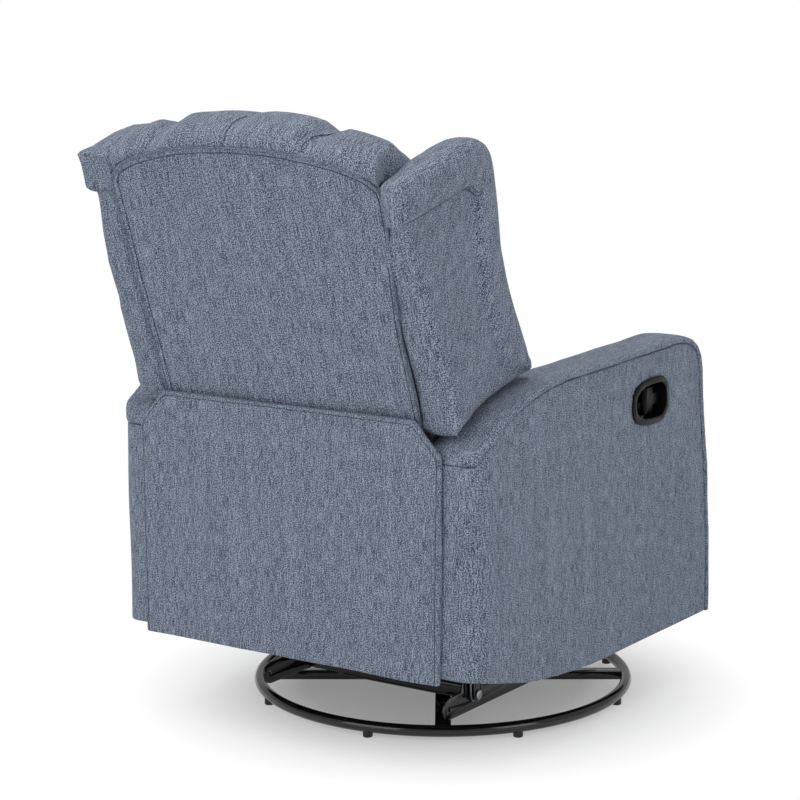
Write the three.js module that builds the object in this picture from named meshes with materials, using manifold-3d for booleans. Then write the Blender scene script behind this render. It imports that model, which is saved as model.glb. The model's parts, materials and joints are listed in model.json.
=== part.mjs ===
// Swivel glider recliner with a winged, button-tufted back. Millimetres, +Z up, the sitter faces -Y.
// Sizes are worked out from the swivel axis, and the whole chair is centred on its own outline at the end.
import * as THREE from 'three';
import { mergeVertices } from 'three/addons/utils/BufferGeometryUtils.js';
import Module from 'manifold-3d';

const wasm = await Module();
wasm.setup();

// Fits and facets
const fit_gap = 0.3;
const bearing_clearance = 0.09;
const weld_bite = 1;
const cut_overrun = 20;
const cut_height = 1100;
const corner_distance = 1e-4;
const ring_steps = 48;
const hub_steps = 24;
const round_steps = 12;
const pin_steps = 8;
const wire_steps = 5;
const bend_steps = 4;
const full_turn = 2 * Math.PI;
const quarter_turn = Math.PI / 2;

// Base ring, cross and feet
const ring_radius = 332;
const tube_radius = 10;
const foot_height = 8;
const foot_radius = 9;
const foot_wrap = 6;
const foot_count = 8;
const cross_turn = THREE.MathUtils.degToRad(33.4);
const cross_width = 27;
const cross_height = 14;
const cross_hub_radius = 34;
const ring_centre_z = foot_height + tube_radius;
const cross_bottom_z = ring_centre_z - cross_height / 2;
const cross_top_z = ring_centre_z + cross_height / 2;

// Swivel bearing
const kingpin_radius = 10;
const kingpin_head_radius = 17;
const kingpin_head_height = 5;
const plate_gauge = 3;
const upper_plate_size = 296;
const lower_plate_size = 190;
const swivel_plate_corner = 34;
const race_inner_radius = 42;
const race_outer_radius = 62;
const race_height = 4;
const stud_radius = 4;
const stud_shoulder_radius = 7.5;
const nut_radius = 7.5;
const nut_height = 3.6;
const nut_steps = 6;
const swivel_stud_circle = 80;
const lower_plate_z = cross_top_z + fit_gap;
const race_z = lower_plate_z + plate_gauge + fit_gap;
const upper_plate_z = race_z + race_height + fit_gap;
const upper_plate_top_z = upper_plate_z + plate_gauge;

// Glide frame that turns on the bearing
const rail_inner_x = 188;
const rail_height = 38;
const rail_rear_y = 288;
const rail_front_y = -250;
const cross_tube_height = 20;
const cross_tube_depth = 26;
const cross_tube_y = 134;
const link_gauge = 4;
const layer_gap = 3;
const pivot_radius = 5;
const pivot_clearance = 0.3;
const hub_radius = 13;
const rivet_head_radius = 8.5;
const rivet_head_height = 2;
const glide_link_length = 95;
const glide_pivot_z = 160;
const glide_rear_y = 200;
const glide_front_y = -170;
const tower_half_width = 34;
const hanger_half_width = 17;
const rail_bottom_z = upper_plate_top_z + fit_gap;
const rail_outer_x = rail_inner_x + plate_gauge;
const glide_link_x = rail_outer_x + layer_gap;
const hanger_x = glide_link_x + link_gauge + layer_gap;
const glide_lower_z = glide_pivot_z - glide_link_length;

// Chassis: the fixed half of the chair above the glide links
const arm_inner_x = 256;
const arm_outer_x = 366;
const beam_z = 184;
const beam_height = 22;
const beam_depth = 30;
const front_beam_y = -60;
const chassis_plate_x = arm_inner_x - layer_gap - link_gauge;
const chassis_plate_bottom_z = beam_z - fit_gap - plate_gauge;
const chassis_plate_top_z = 262;
const chassis_plate_front_y = -235;
const chassis_plate_rear_y = 300;
const chassis_corner = 18;
const arm_bolt_shares = [[0.056, 0.422], [0.402, 0.631], [0.589, 0.631], [0.935, 0.422]];

// Links that carry the seat forward and up while the back leans
const recline_link_length = 110;
const recline_start = THREE.MathUtils.degToRad(32.8);
const recline_pivot_z = 232;
const recline_rear_y = 130;
const recline_front_y = -170;
const recline_link_x = chassis_plate_x - layer_gap - link_gauge;
const seat_plate_x = recline_link_x - layer_gap - plate_gauge;
const foot_link_lower_x = seat_plate_x - layer_gap - link_gauge;
const foot_link_upper_x = foot_link_lower_x - layer_gap - link_gauge;
const foot_bracket_x = foot_link_upper_x - layer_gap - plate_gauge;

// Arms: outlines run along the arm's length and height, front to rear and floor to crown
const arm_rear_y = 458;
const arm_front_y = -338;
const arm_height = 638;
const arm_corner_radius = 48;
const arm_panel_thickness = 16;
const arm_inner_thickness = 12;
const arm_band_thickness = 20;
const arm_band_crown = 12;
const arm_band_overhang = 3;
const arm_wrap_x = 288;
const arm_section_steps = 8;
const arm_core_lift = 12;
const arm_core_low_z = 130;
const arm_crown_power = 3;
const arm_top_shares = [
  [0.000, 0.183], [0.000, 0.282], [0.003, 0.392], [0.010, 0.470], [0.014, 0.533], [0.018, 0.618], [0.028, 0.690],
  [0.039, 0.768], [0.046, 0.840], [0.049, 0.887], [0.059, 0.934], [0.078, 0.967], [0.106, 0.987], [0.146, 0.997],
  [0.211, 1.000], [0.276, 0.998], [0.366, 0.995], [0.451, 0.991], [0.550, 0.987], [0.663, 0.983], [0.739, 0.972],
  [0.802, 0.957], [0.864, 0.933], [0.915, 0.903], [0.952, 0.871], [0.985, 0.848], [1.000, 0.815],
];
const arm_bottom_shares = [
  [1.000, 0.271], [0.968, 0.265], [0.881, 0.240], [0.808, 0.219], [0.739, 0.207], [0.673, 0.197], [0.597, 0.190],
  [0.496, 0.182],
];

// Rear panel and the rail behind it
const panel_thickness = 11;
const panel_bottom_z = 162;
const panel_top_z = 584;
const panel_shoulder_z = 530;
const panel_half_width = 304;
const panel_top_half_width = 253;
const panel_foot_half_width = 299;
const panel_rear_y = arm_rear_y + fit_gap + panel_thickness;
const rear_rail_height = 70;
const rear_rail_z = 190;
const rear_rail_thickness = 22;

// Handle cup and paddle in the right arm
const handle_y = -113;
const handle_drop = 95;
const handle_z = arm_height - handle_drop;
const handle_width = 98;
const handle_height = 82;
const handle_corner = 36;
const handle_lip = 3;
const handle_depth = 32;
const handle_wall = 3;
const handle_rim = 11;
const paddle_width = 50;
const paddle_height = 44;
const paddle_thickness = 5;
const paddle_shoulder_share = 0.55;
const paddle_neck_share = 0.45;
const paddle_pin_radius = 3;
const paddle_pin_inset = 14;
const paddle_pin_depth = 9;
const paddle_pin_reach = 3;
const paddle_knuckle_radius = 6;
const paddle_pin_y = handle_y + handle_width / 2 - handle_rim - paddle_pin_inset;
const paddle_pin_x = arm_outer_x - paddle_pin_depth;

// Back, laid out along its own lean: height runs up its rear face, depth runs forward from it
const back_lean = THREE.MathUtils.degToRad(18.3);
const back_foot_y = 456;
const back_foot_z = 590;
const back_half_width = 255;
const back_pivot_y = 410;
const back_pivot_z = 470;
const outer_back_thickness = 10;
const outer_back_bottom = -22;
const outer_back_height = 439;
const back_crown_rise = 37;
const back_crown_height = outer_back_height + back_crown_rise;
const outer_back_shares = [
  [0.000, 1.000], [0.235, 0.995], [0.392, 0.987], [0.569, 0.971], [0.765, 0.943], [0.910, 0.908], [1.000, 0.855],
];
const back_crown_shares = [
  [0.000, 1.000], [0.200, 0.998], [0.330, 0.990], [0.430, 0.983], [0.530, 0.974], [0.600, 0.967], [0.700, 0.959],
  [0.800, 0.945], [0.920, 0.925], [1.000, 0.910],
];
const back_board_thickness = 18;
const back_board_half_width = foot_link_lower_x - fit_gap;
const back_board_bottom = -90;
const back_board_drop = 67;
const back_board_top = outer_back_height - back_board_drop;
const bracket_elbow_height = -30;
const bracket_height = 150;
const bracket_radius = back_board_thickness / 2;

// Inner back cushion: a rolled crown with three pleats over a tufted front
const back_cushion_bottom = -146;
const back_cushion_depth = 168;
const back_cushion_rear = outer_back_thickness + back_board_thickness + 2 * fit_gap;
const cushion_edge_round = 30;
const back_station_spacing = 20;
const front_steps = 12;
const roll_overhang = 3;
const roll_drop = 92;
const roll_shares = [[0.4, 0], [0.8, 0.08], [0.97, 0.24], [1, 0.42]];
const roll_front_shares = [[0.196, 0.64], [0.565, 0.85]];
const lumbar_depth = 14;
const lumbar_share = 1.6;
const back_edge_draw = 26;
const edge_power = 6;
const pleat_x = 147;
const pleat_depth = 9;
const middle_pleat_depth = 5;
const pleat_width = 20;
const tuft_depth = 20;
const tuft_reach = 62;
const button_radius = 11;
const button_height = 7;
const button_sink = 2;
const button_rim_share = 0.7;
const tuft_shares = [
  [-0.518, 0.705], [0.518, 0.705], [0, 0.513], [-0.784, 0.513], [0.784, 0.513], [-0.518, 0.321], [0.518, 0.321],
  [0, 0.128], [-0.784, 0.128], [0.784, 0.128],
];

// Welts: two piping cords along the top of the outer back
const welt_radius = 4;
const welt_spacing = 18;
const welt_steps = 6;
const welt_reach_share = 0.985;

// Wings: a thick roll up the front and over the top of a thinner padded body
const wing_inner_x = back_half_width + fit_gap;
const wing_outer_x = 325;
const wing_body_outer_x = 306;
const wing_flare = 20;
const wing_roll_flare = 8;
const wing_roll_proud = 3;
const wing_outer_round = 26;
const wing_inner_round = 14;
const wing_front_y = 219;
const wing_rear_y = 596;
const wing_bottom_z = 546;
const wing_top_z = 1021;
const wing_front_shares = [
  [0.011, 0.177], [0.000, 0.200], [0.050, 0.293], [0.127, 0.415], [0.183, 0.524], [0.231, 0.629], [0.255, 0.735],
  [0.273, 0.834], [0.286, 0.897], [0.305, 0.943], [0.337, 0.977], [0.395, 0.996], [0.480, 1.000], [0.568, 0.996],
  [0.647, 0.983], [0.761, 0.964], [0.881, 0.939], [0.952, 0.920], [0.989, 0.897], [1.000, 0.867],
];
const wing_rear_shares = [
  [0.973, 0.821], [0.899, 0.756], [0.878, 0.714], [0.838, 0.615], [0.785, 0.507], [0.735, 0.400], [0.684, 0.288],
  [0.631, 0.179], [0.592, 0.067], [0.586, 0.000], [0.568, 0.023], [0.528, 0.053], [0.454, 0.086], [0.347, 0.118],
  [0.215, 0.147],
];
const wing_seam_shares = [
  [0.958, 0.771], [0.867, 0.785], [0.676, 0.817], [0.485, 0.840], [0.440, 0.813], [0.430, 0.640], [0.406, 0.503],
  [0.350, 0.371], [0.271, 0.253], [0.223, 0.194],
];

// Seat: side plates, frame, springs and cushion
const seat_side_gap = 9;
const seat_half_width = arm_inner_x - seat_side_gap;
const seat_front_y = -312;
const seat_rear_y = 252;
const seat_bottom_z = 405;
const seat_top_z = 498;
const seat_crown = 16;
const seat_crown_shares = [0.8, 0.55, 0.25];
const seat_edge_round = 30;
const seat_corner_radius = 34;
const seat_frame_z = 374;
const seat_frame_height = 26;
const seat_frame_board = 45;
const seat_frame_front_y = -250;
const seat_frame_rear_y = 300;
const seat_plate_top_z = seat_frame_z - fit_gap;
const seat_plate_bottom_z = 272;
const seat_plate_front_y = -235;
const seat_plate_heel_y = 250;
const seat_plate_knee_y = 345;
const seat_hub_radius = 16;
const seat_hub_start = THREE.MathUtils.degToRad(-22.5);
const seat_hub_sweep = THREE.MathUtils.degToRad(153);
const spring_wire_radius = 2.2;
const spring_count = 4;
const spring_waves = 7;
const spring_half_width = 16;
const spring_spread_share = 0.78;
const tie_wire_shares = [0.29, 0.71];

// Footrest
const foot_pivot_y = -100;
const foot_pivot_z = 328;
const foot_link_length = 210;
const foot_lower_start = THREE.MathUtils.degToRad(-91.6);
const foot_upper_start = THREE.MathUtils.degToRad(44.4);
const footrest_bottom_z = 126;
const footrest_top_z = 398;
const footrest_side_gap = 12;
const footrest_half_width = arm_inner_x - footrest_side_gap;
const footrest_front_y = -331;
const footrest_pad_thickness = 52;
const footrest_board_thickness = 15;
const footrest_corner = 26;
const foot_bracket_half_height = 60;

// Colours
const fabric_colour = 0x76808f;
const welt_colour = 0x6a7483;
const steel_colour = 0x111214;
const plastic_colour = 0x1a1b1d;
const wood_colour = 0xb08a5c;
const zinc_colour = 0x9a9da2;

const chair = new THREE.Group();
chair.name = 'swivel_glider_recliner';

const materials = {
  fabric: () => new THREE.MeshStandardMaterial({ color: fabric_colour, roughness: 0.95, metalness: 0 }),
  welt: () => new THREE.MeshStandardMaterial({ color: welt_colour, roughness: 0.95, metalness: 0 }),
  steel: () => new THREE.MeshStandardMaterial({ color: steel_colour, roughness: 0.3, metalness: 0.4 }),
  plastic: () => new THREE.MeshStandardMaterial({ color: plastic_colour, roughness: 0.45, metalness: 0 }),
  wood: () => new THREE.MeshStandardMaterial({ color: wood_colour, roughness: 0.75, metalness: 0 }),
  zinc: () => new THREE.MeshStandardMaterial({ color: zinc_colour, roughness: 0.35, metalness: 0.9 }),
};

function add_part(name, geometry, material) {
  const mesh = new THREE.Mesh(geometry, material());
  mesh.name = name;
  chair.add(mesh);
}

function add_pair(name, geometry, material) {
  add_part(name + '_left', geometry, material);
  add_part(name + '_right', mirrored(geometry), material);
}

// Keeps positions only and joins equal corners, so a geometry is one closed skin
function welded(geometry) {
  const bare = geometry.clone();
  bare.deleteAttribute('normal');
  bare.deleteAttribute('uv');
  return mergeVertices(bare, corner_distance);
}

function to_solid(geometry) {
  const skin = welded(geometry);
  return new wasm.Manifold(new wasm.Mesh({
    numProp: 3,
    vertProperties: new Float32Array(skin.attributes.position.array),
    triVerts: new Uint32Array(skin.index.array),
  }));
}

function to_geometry(solid) {
  const mesh = solid.getMesh();
  const geometry = new THREE.BufferGeometry();
  geometry.setAttribute('position', new THREE.BufferAttribute(new Float32Array(mesh.vertProperties), 3));
  geometry.setIndex(new THREE.BufferAttribute(new Uint32Array(mesh.triVerts), 1));
  geometry.computeVertexNormals();
  return geometry;
}

// Overlapping geometries as one body
function joined(geometries) {
  const solids = geometries.map((geometry) => to_solid(geometry));
  return to_geometry(solids.reduce((whole, solid) => whole.add(solid)));
}

function without(solid, cuts) {
  return cuts.reduce((rest, cut) => rest.subtract(cut), solid);
}

function flipped(order) {
  for (let i = 0; i < order.length; i += 3) {
    const kept = order[i + 1];
    order[i + 1] = order[i + 2];
    order[i + 2] = kept;
  }
}

// The same form on the other side of the chair
function mirrored(geometry) {
  const twin = welded(geometry);
  const place = twin.attributes.position;
  for (let i = 0; i < place.count; i += 1) {
    place.setX(i, -place.getX(i));
  }
  flipped(twin.index.array);
  twin.computeVertexNormals();
  return twin;
}

function shape_of(points, holes = []) {
  const shape = new THREE.Shape(points.map(([a, b]) => new THREE.Vector2(a, b)));
  for (const hole of holes) {
    shape.holes.push(new THREE.Path(hole.map(([a, b]) => new THREE.Vector2(a, b))));
  }
  return shape;
}

function extruded(points, depth, holes = []) {
  return new THREE.ExtrudeGeometry(shape_of(points, holes), { depth, bevelEnabled: false });
}

// An outline of [y, z] points, made solid from x_start over width
function across_x(points, x_start, width, holes = []) {
  const geometry = extruded(points, width, holes);
  const place = new THREE.Matrix4().set(0, 0, 1, x_start, 1, 0, 0, 0, 0, 1, 0, 0, 0, 0, 0, 1);
  return geometry.applyMatrix4(place);
}

// An outline of [x, z] points, made solid from y_rear forward over depth
function across_y(points, y_rear, depth, holes = []) {
  const geometry = extruded(points, depth, holes);
  const place = new THREE.Matrix4().set(1, 0, 0, 0, 0, 0, -1, y_rear, 0, 1, 0, 0, 0, 0, 0, 1);
  return geometry.applyMatrix4(place);
}

// An outline of [x, y] points, made solid from z_start up over height
function across_z(points, z_start, height, holes = []) {
  return extruded(points, height, holes).translate(0, 0, z_start);
}

// A round wire or cord along a smooth path
function corded(path, radius, sides, steps) {
  return new THREE.ExtrudeGeometry(shape_of(circle_points(0, 0, radius, sides)), {
    steps, bevelEnabled: false, extrudePath: new THREE.CatmullRomCurve3(path),
  });
}

function circle_points(centre_a, centre_b, radius, steps) {
  const points = [];
  for (let i = 0; i < steps; i += 1) {
    const turn = (full_turn * i) / steps;
    points.push([centre_a + radius * Math.cos(turn), centre_b + radius * Math.sin(turn)]);
  }
  return points;
}

function arc_points(centre_a, centre_b, radius, start, sweep, steps) {
  const points = [];
  for (let i = 0; i <= steps; i += 1) {
    const turn = start + (sweep * i) / steps;
    points.push([centre_a + radius * Math.cos(turn), centre_b + radius * Math.sin(turn)]);
  }
  return points;
}

function rectangle_points(low_a, high_a, low_b, high_b) {
  return [[low_a, low_b], [high_a, low_b], [high_a, high_b], [low_a, high_b]];
}

function rounded_rectangle(low_a, high_a, low_b, high_b, radius) {
  const corners = [
    [high_a - radius, low_b + radius, -quarter_turn],
    [high_a - radius, high_b - radius, 0],
    [low_a + radius, high_b - radius, quarter_turn],
    [low_a + radius, low_b + radius, 2 * quarter_turn],
  ];
  return corners.flatMap(([a, b, start]) => arc_points(a, b, radius, start, quarter_turn, bend_steps));
}

// Shares of a box, given by its low corner and its size, as points
function shares_in(shares, low_a, size_a, low_b, size_b) {
  return shares.map(([a, b]) => [low_a + a * size_a, low_b + b * size_b]);
}

// The outline of a flat link: two round ends joined by straight edges
function link_points(start, end, radius) {
  const along = Math.atan2(end[1] - start[1], end[0] - start[0]);
  return [
    ...arc_points(end[0], end[1], radius, along - quarter_turn, Math.PI, round_steps / 2),
    ...arc_points(start[0], start[1], radius, along + quarter_turn, Math.PI, round_steps / 2),
  ];
}

// A hole's radius across its flats holds the round pin with room at every corner
function bored_radius(radius, steps) {
  return radius / Math.cos(Math.PI / steps);
}

function pivot_hole(point) {
  return circle_points(point[0], point[1], bored_radius(pivot_radius + pivot_clearance, pin_steps), pin_steps);
}

// A turned solid about Z from [radius, height] points that start and end on the axis
function turned(profile, steps = ring_steps) {
  const body = new THREE.LatheGeometry(profile.map(([r, h]) => new THREE.Vector2(r, h)), steps);
  return body.rotateX(quarter_turn);
}

// A pin formed on a link: it passes through its neighbour toward -X or +X and ends in a flat head
function formed_pin(point, link_x, side, neighbour_gauge) {
  const root = weld_bite;
  const head = layer_gap + neighbour_gauge + fit_gap;
  const profile = [
    [0, -root], [pivot_radius, -root], [pivot_radius, head], [rivet_head_radius, head],
    [rivet_head_radius, head + rivet_head_height], [0, head + rivet_head_height],
  ];
  const face_x = side > 0 ? link_x + link_gauge : link_x;
  return turned(profile, pin_steps).rotateY(side * quarter_turn).translate(face_x, point[0], point[1]);
}

function flat_link(start, end, x_start, holes = []) {
  return across_x(link_points(start, end, hub_radius), x_start, link_gauge, holes.map((point) => pivot_hole(point)));
}

function doubled_area(points) {
  return points.reduce((sum, [a, b], i) => {
    const next = points[(i + 1) % points.length];
    return sum + a * next[1] - next[0] * b;
  }, 0);
}

// Moves every point of a closed outline inward by one distance
function inset_points(points, distance) {
  const count = points.length;
  const side = Math.sign(doubled_area(points));
  return points.map((point, i) => {
    const before = points[(i + count - 1) % count];
    const after = points[(i + 1) % count];
    const first = new THREE.Vector2(point[0] - before[0], point[1] - before[1]).normalize();
    const second = new THREE.Vector2(after[0] - point[0], after[1] - point[1]).normalize();
    const inward = new THREE.Vector2(-(first.y + second.y), first.x + second.x).normalize();
    const spread = Math.max(Math.abs(inward.dot(new THREE.Vector2(-first.y, first.x))), 1 / 2);
    const step = (side * distance) / spread;
    return [point[0] + inward.x * step, point[1] + inward.y * step];
  });
}

// Turns a closed skin right side out
function outward(geometry) {
  const place = geometry.attributes.position;
  const order = geometry.index.array;
  const corners = [new THREE.Vector3(), new THREE.Vector3(), new THREE.Vector3()];
  let volume = 0;
  for (let i = 0; i < order.length; i += 3) {
    corners.forEach((corner, k) => corner.fromBufferAttribute(place, order[i + k]));
    volume += corners[0].dot(corners[1].cross(corners[2]));
  }
  if (volume < 0) {
    flipped(order);
  }
  geometry.computeVertexNormals();
  return geometry;
}

// A closed skin through rings of equal point count, with a flat cap at each end
function skinned(rings, cap_points) {
  const count = rings[0].length;
  const order = [];
  for (let k = 0; k + 1 < rings.length; k += 1) {
    for (let i = 0; i < count; i += 1) {
      const j = (i + 1) % count;
      const low = k * count;
      const high = low + count;
      order.push(low + i, low + j, high + j, low + i, high + j, high + i);
    }
  }
  const last = (rings.length - 1) * count;
  const caps = THREE.ShapeUtils.triangulateShape(cap_points.map(([a, b]) => new THREE.Vector2(a, b)), []);
  const side = Math.sign(doubled_area(cap_points));
  for (const [a, b, c] of caps) {
    if (Math.sign(doubled_area([cap_points[a], cap_points[b], cap_points[c]])) === side) {
      order.push(a, c, b, last + a, last + b, last + c);
    } else {
      order.push(a, b, c, last + a, last + c, last + b);
    }
  }
  const geometry = new THREE.BufferGeometry();
  geometry.setAttribute('position', new THREE.BufferAttribute(new Float32Array(rings.flat(2)), 3));
  geometry.setIndex(order);
  return outward(geometry);
}

// Levels of a padded edge: quarter-round rings at the low and at the high face
function padded_levels(low, high, low_round, high_round) {
  const levels = [];
  for (let i = 0; i <= bend_steps; i += 1) {
    const turn = (quarter_turn * i) / bend_steps;
    levels.push([low + low_round * (1 - Math.cos(turn)), low_round * (1 - Math.sin(turn))]);
  }
  for (let i = bend_steps; i >= 0; i -= 1) {
    const turn = (quarter_turn * i) / bend_steps;
    levels.push([high - high_round * (1 - Math.cos(turn)), high_round * (1 - Math.sin(turn))]);
  }
  return levels;
}

function upright_pin(x, y, radius, low, high, steps = pin_steps) {
  return across_z(circle_points(x, y, radius, steps), low, high - low);
}

// Base: a round tube bent to a ring with small glides, a cross of flat bars, and the fixed bearing plate
function ring_skin(radius) {
  const section = circle_points(ring_radius, ring_centre_z, radius, pin_steps);
  return turned([...section, section[0]]);
}

function swivel_stud_places() {
  return [0, 1, 2, 3].map((i) => {
    const turn = cross_turn + i * quarter_turn;
    return [swivel_stud_circle * Math.cos(turn), swivel_stud_circle * Math.sin(turn)];
  });
}

function base_parts() {
  const glides = [];
  for (let i = 0; i < foot_count; i += 1) {
    const turn = cross_turn + (full_turn * (i + 1 / 2)) / foot_count;
    glides.push(upright_pin(ring_radius * Math.cos(turn), ring_radius * Math.sin(turn), foot_radius, 0,
      foot_height + foot_wrap));
  }
  add_part('base_ring', joined([ring_skin(tube_radius), ...glides]), materials.steel);

  const bar = rectangle_points(-ring_radius, ring_radius, -cross_width / 2, cross_width / 2);
  const bar_at = (turn) => across_z(bar, cross_bottom_z, cross_height).rotateZ(turn);
  const hub = upright_pin(0, 0, cross_hub_radius, cross_bottom_z, cross_top_z, hub_steps);
  const bore_radius = bored_radius(kingpin_radius + bearing_clearance, hub_steps);
  const bore = to_solid(upright_pin(0, 0, bore_radius, -cut_overrun, cross_top_z + cut_overrun, hub_steps));
  const stud_holes = swivel_stud_places().map(([x, y]) =>
    to_solid(upright_pin(x, y, stud_radius + fit_gap, -cut_overrun, cross_top_z + cut_overrun)));
  const ring_seat = to_solid(ring_skin(tube_radius + fit_gap));
  const cross = to_solid(joined([bar_at(cross_turn), bar_at(cross_turn + quarter_turn), hub]));
  add_part('base_cross', to_geometry(without(cross, [ring_seat, bore, ...stud_holes])), materials.steel);

  const half = lower_plate_size / 2;
  const plate = across_z(rounded_rectangle(-half, half, -half, half, swivel_plate_corner), lower_plate_z,
    plate_gauge).rotateZ(cross_turn);
  const nut_top = cross_bottom_z - fit_gap;
  const stud_end = nut_top - nut_height;
  const studs = swivel_stud_places().map(([x, y]) =>
    upright_pin(x, y, stud_radius, stud_end, lower_plate_z + weld_bite));
  add_part('swivel_lower_plate', to_geometry(to_solid(joined([plate, ...studs])).subtract(bore)), materials.steel);

  const nut_hole = bored_radius(stud_radius + fit_gap, pin_steps);
  swivel_stud_places().forEach(([x, y], i) => {
    const nut = across_z(circle_points(x, y, nut_radius, nut_steps), stud_end, nut_height,
      [circle_points(x, y, nut_hole, pin_steps)]);
    add_part('swivel_nut_' + (i + 1), nut, materials.zinc);
  });

  add_part('bearing_race', turned([[race_inner_radius, race_z], [race_outer_radius, race_z],
    [race_outer_radius, race_z + race_height], [race_inner_radius, race_z + race_height],
    [race_inner_radius, race_z]], hub_steps), materials.plastic);
}

// The plate, pin and welded frame that turn on the base
function rail_outline() {
  const end_round = rail_height / 2;
  const top = rail_bottom_z + rail_height;
  const middle = rail_bottom_z + end_round;
  const tower = (y) => [
    [y + tower_half_width, top],
    ...arc_points(y, glide_pivot_z, hub_radius, 0, Math.PI, bend_steps),
    [y - tower_half_width, top],
  ];
  return [
    ...arc_points(rail_rear_y - end_round, middle, end_round, -quarter_turn, Math.PI, bend_steps),
    ...tower(glide_rear_y),
    ...tower(glide_front_y),
    ...arc_points(rail_front_y + end_round, middle, end_round, quarter_turn, Math.PI, bend_steps),
  ];
}

function swivel_parts() {
  const half = upper_plate_size / 2;
  const bore = circle_points(0, 0, kingpin_radius + fit_gap, hub_steps);
  add_part('swivel_upper_plate', across_z(rounded_rectangle(-half, half, -half, half, swivel_plate_corner),
    upper_plate_z, plate_gauge, [bore]), materials.steel);

  const head_z = upper_plate_top_z + fit_gap;
  const tail_z = cross_bottom_z - fit_gap;
  add_part('kingpin', turned([
    [0, tail_z - plate_gauge], [kingpin_head_radius, tail_z - plate_gauge], [kingpin_head_radius, tail_z],
    [kingpin_radius, tail_z], [kingpin_radius, head_z], [kingpin_head_radius, head_z],
    [kingpin_head_radius, head_z + kingpin_head_height], [0, head_z + kingpin_head_height],
  ], hub_steps), materials.zinc);

  const tube_half_length = rail_inner_x - fit_gap;
  const tube = (y) => {
    const section = rectangle_points(y - cross_tube_depth / 2, y + cross_tube_depth / 2, rail_bottom_z,
      rail_bottom_z + cross_tube_height);
    return across_x(section, -tube_half_length, 2 * tube_half_length, [inset_points(section, plate_gauge)]);
  };
  add_part('glide_cross_tube_rear', tube(cross_tube_y), materials.steel);
  add_part('glide_cross_tube_front', tube(-cross_tube_y), materials.steel);

  const end_round = rail_height / 2;
  const end_hole = circle_points(rail_rear_y - end_round, rail_bottom_z + end_round, pivot_radius, pin_steps);
  add_pair('glide_rail', across_x(rail_outline(), rail_inner_x, plate_gauge, [
    pivot_hole([glide_rear_y, glide_pivot_z]), pivot_hole([glide_front_y, glide_pivot_z]), end_hole,
  ]), materials.steel);
}

// Hanging links with their pins: the chassis swings fore and aft on four of them
function glide_link_parts(name, y) {
  const top = [y, glide_pivot_z];
  const bottom = [y, glide_lower_z];
  add_pair('glide_link_' + name, joined([
    flat_link(top, bottom, glide_link_x),
    formed_pin(top, glide_link_x, -1, plate_gauge),
    formed_pin(bottom, glide_link_x, 1, plate_gauge),
  ]), materials.zinc);
}

// Chassis: channel beams with welded hangers, and side plates whose studs hold the arms
function hanger(pivot_y, beam_y) {
  const top = beam_z + weld_bite;
  const round_end = link_points([beam_y, top], [pivot_y, glide_lower_z], hub_radius).slice(0, round_steps / 2 + 1);
  const outline = [...round_end, [beam_y + hanger_half_width, top], [beam_y - hanger_half_width, top]];
  return across_x(outline, hanger_x, plate_gauge, [pivot_hole([pivot_y, glide_lower_z])]);
}

function hung_beam(pivot_y, beam_y) {
  const front = beam_y - beam_depth / 2;
  const rear = beam_y + beam_depth / 2;
  const top = beam_z + beam_height;
  const floor = beam_z + plate_gauge;
  const section = [
    [front, beam_z], [rear, beam_z], [rear, top], [rear - plate_gauge, top], [rear - plate_gauge, floor],
    [front + plate_gauge, floor], [front + plate_gauge, top], [front, top],
  ];
  const half_length = chassis_plate_x - fit_gap;
  const channel = across_x(section, -half_length, 2 * half_length);
  return joined([channel, hanger(pivot_y, beam_y), mirrored(hanger(pivot_y, beam_y))]);
}

function arm_bolt_places() {
  return shares_in(arm_bolt_shares, chassis_plate_front_y, chassis_plate_rear_y - chassis_plate_front_y,
    chassis_plate_bottom_z, chassis_plate_top_z - chassis_plate_bottom_z);
}

function chassis_parts() {
  add_part('chassis_beam_front', hung_beam(glide_front_y, front_beam_y), materials.steel);
  add_part('chassis_beam_rear', hung_beam(glide_rear_y, glide_rear_y), materials.steel);

  const plate = across_x(rounded_rectangle(chassis_plate_front_y, chassis_plate_rear_y, chassis_plate_bottom_z,
    chassis_plate_top_z, chassis_corner), chassis_plate_x, link_gauge, [
    pivot_hole([recline_rear_y, recline_pivot_z]), pivot_hole([recline_front_y, recline_pivot_z]),
  ]);
  const shoulder_height = layer_gap - fit_gap;
  const stud_height = layer_gap + arm_inner_thickness - fit_gap;
  const stud = turned([
    [0, -weld_bite], [stud_shoulder_radius, -weld_bite], [stud_shoulder_radius, shoulder_height],
    [stud_radius, shoulder_height], [stud_radius, stud_height], [0, stud_height],
  ], pin_steps).rotateY(quarter_turn).translate(chassis_plate_x + link_gauge, 0, 0);
  const studs = arm_bolt_places().map(([y, z]) => stud.clone().translate(0, y, z));
  add_pair('chassis_plate', joined([plate, ...studs]), materials.steel);

  const rail_width = arm_inner_x - fit_gap;
  add_part('rear_rail', across_y(rectangle_points(-rail_width, rail_width, rear_rail_z,
    rear_rail_z + rear_rail_height), arm_rear_y, rear_rail_thickness), materials.wood);
}

// Links with their pins that carry the seat from the chassis
function recline_seat_pivot(y) {
  return [y + recline_link_length * Math.cos(recline_start),
    recline_pivot_z + recline_link_length * Math.sin(recline_start)];
}

function recline_link_parts(name, y) {
  const low = [y, recline_pivot_z];
  const high = recline_seat_pivot(y);
  add_pair('recline_link_' + name, joined([
    flat_link(low, high, recline_link_x),
    formed_pin(low, recline_link_x, 1, link_gauge),
    formed_pin(high, recline_link_x, -1, plate_gauge),
  ]), materials.steel);
}

// Seat
const back_pivot = [back_pivot_y, back_pivot_z];
const foot_pivot = [foot_pivot_y, foot_pivot_z];

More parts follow.
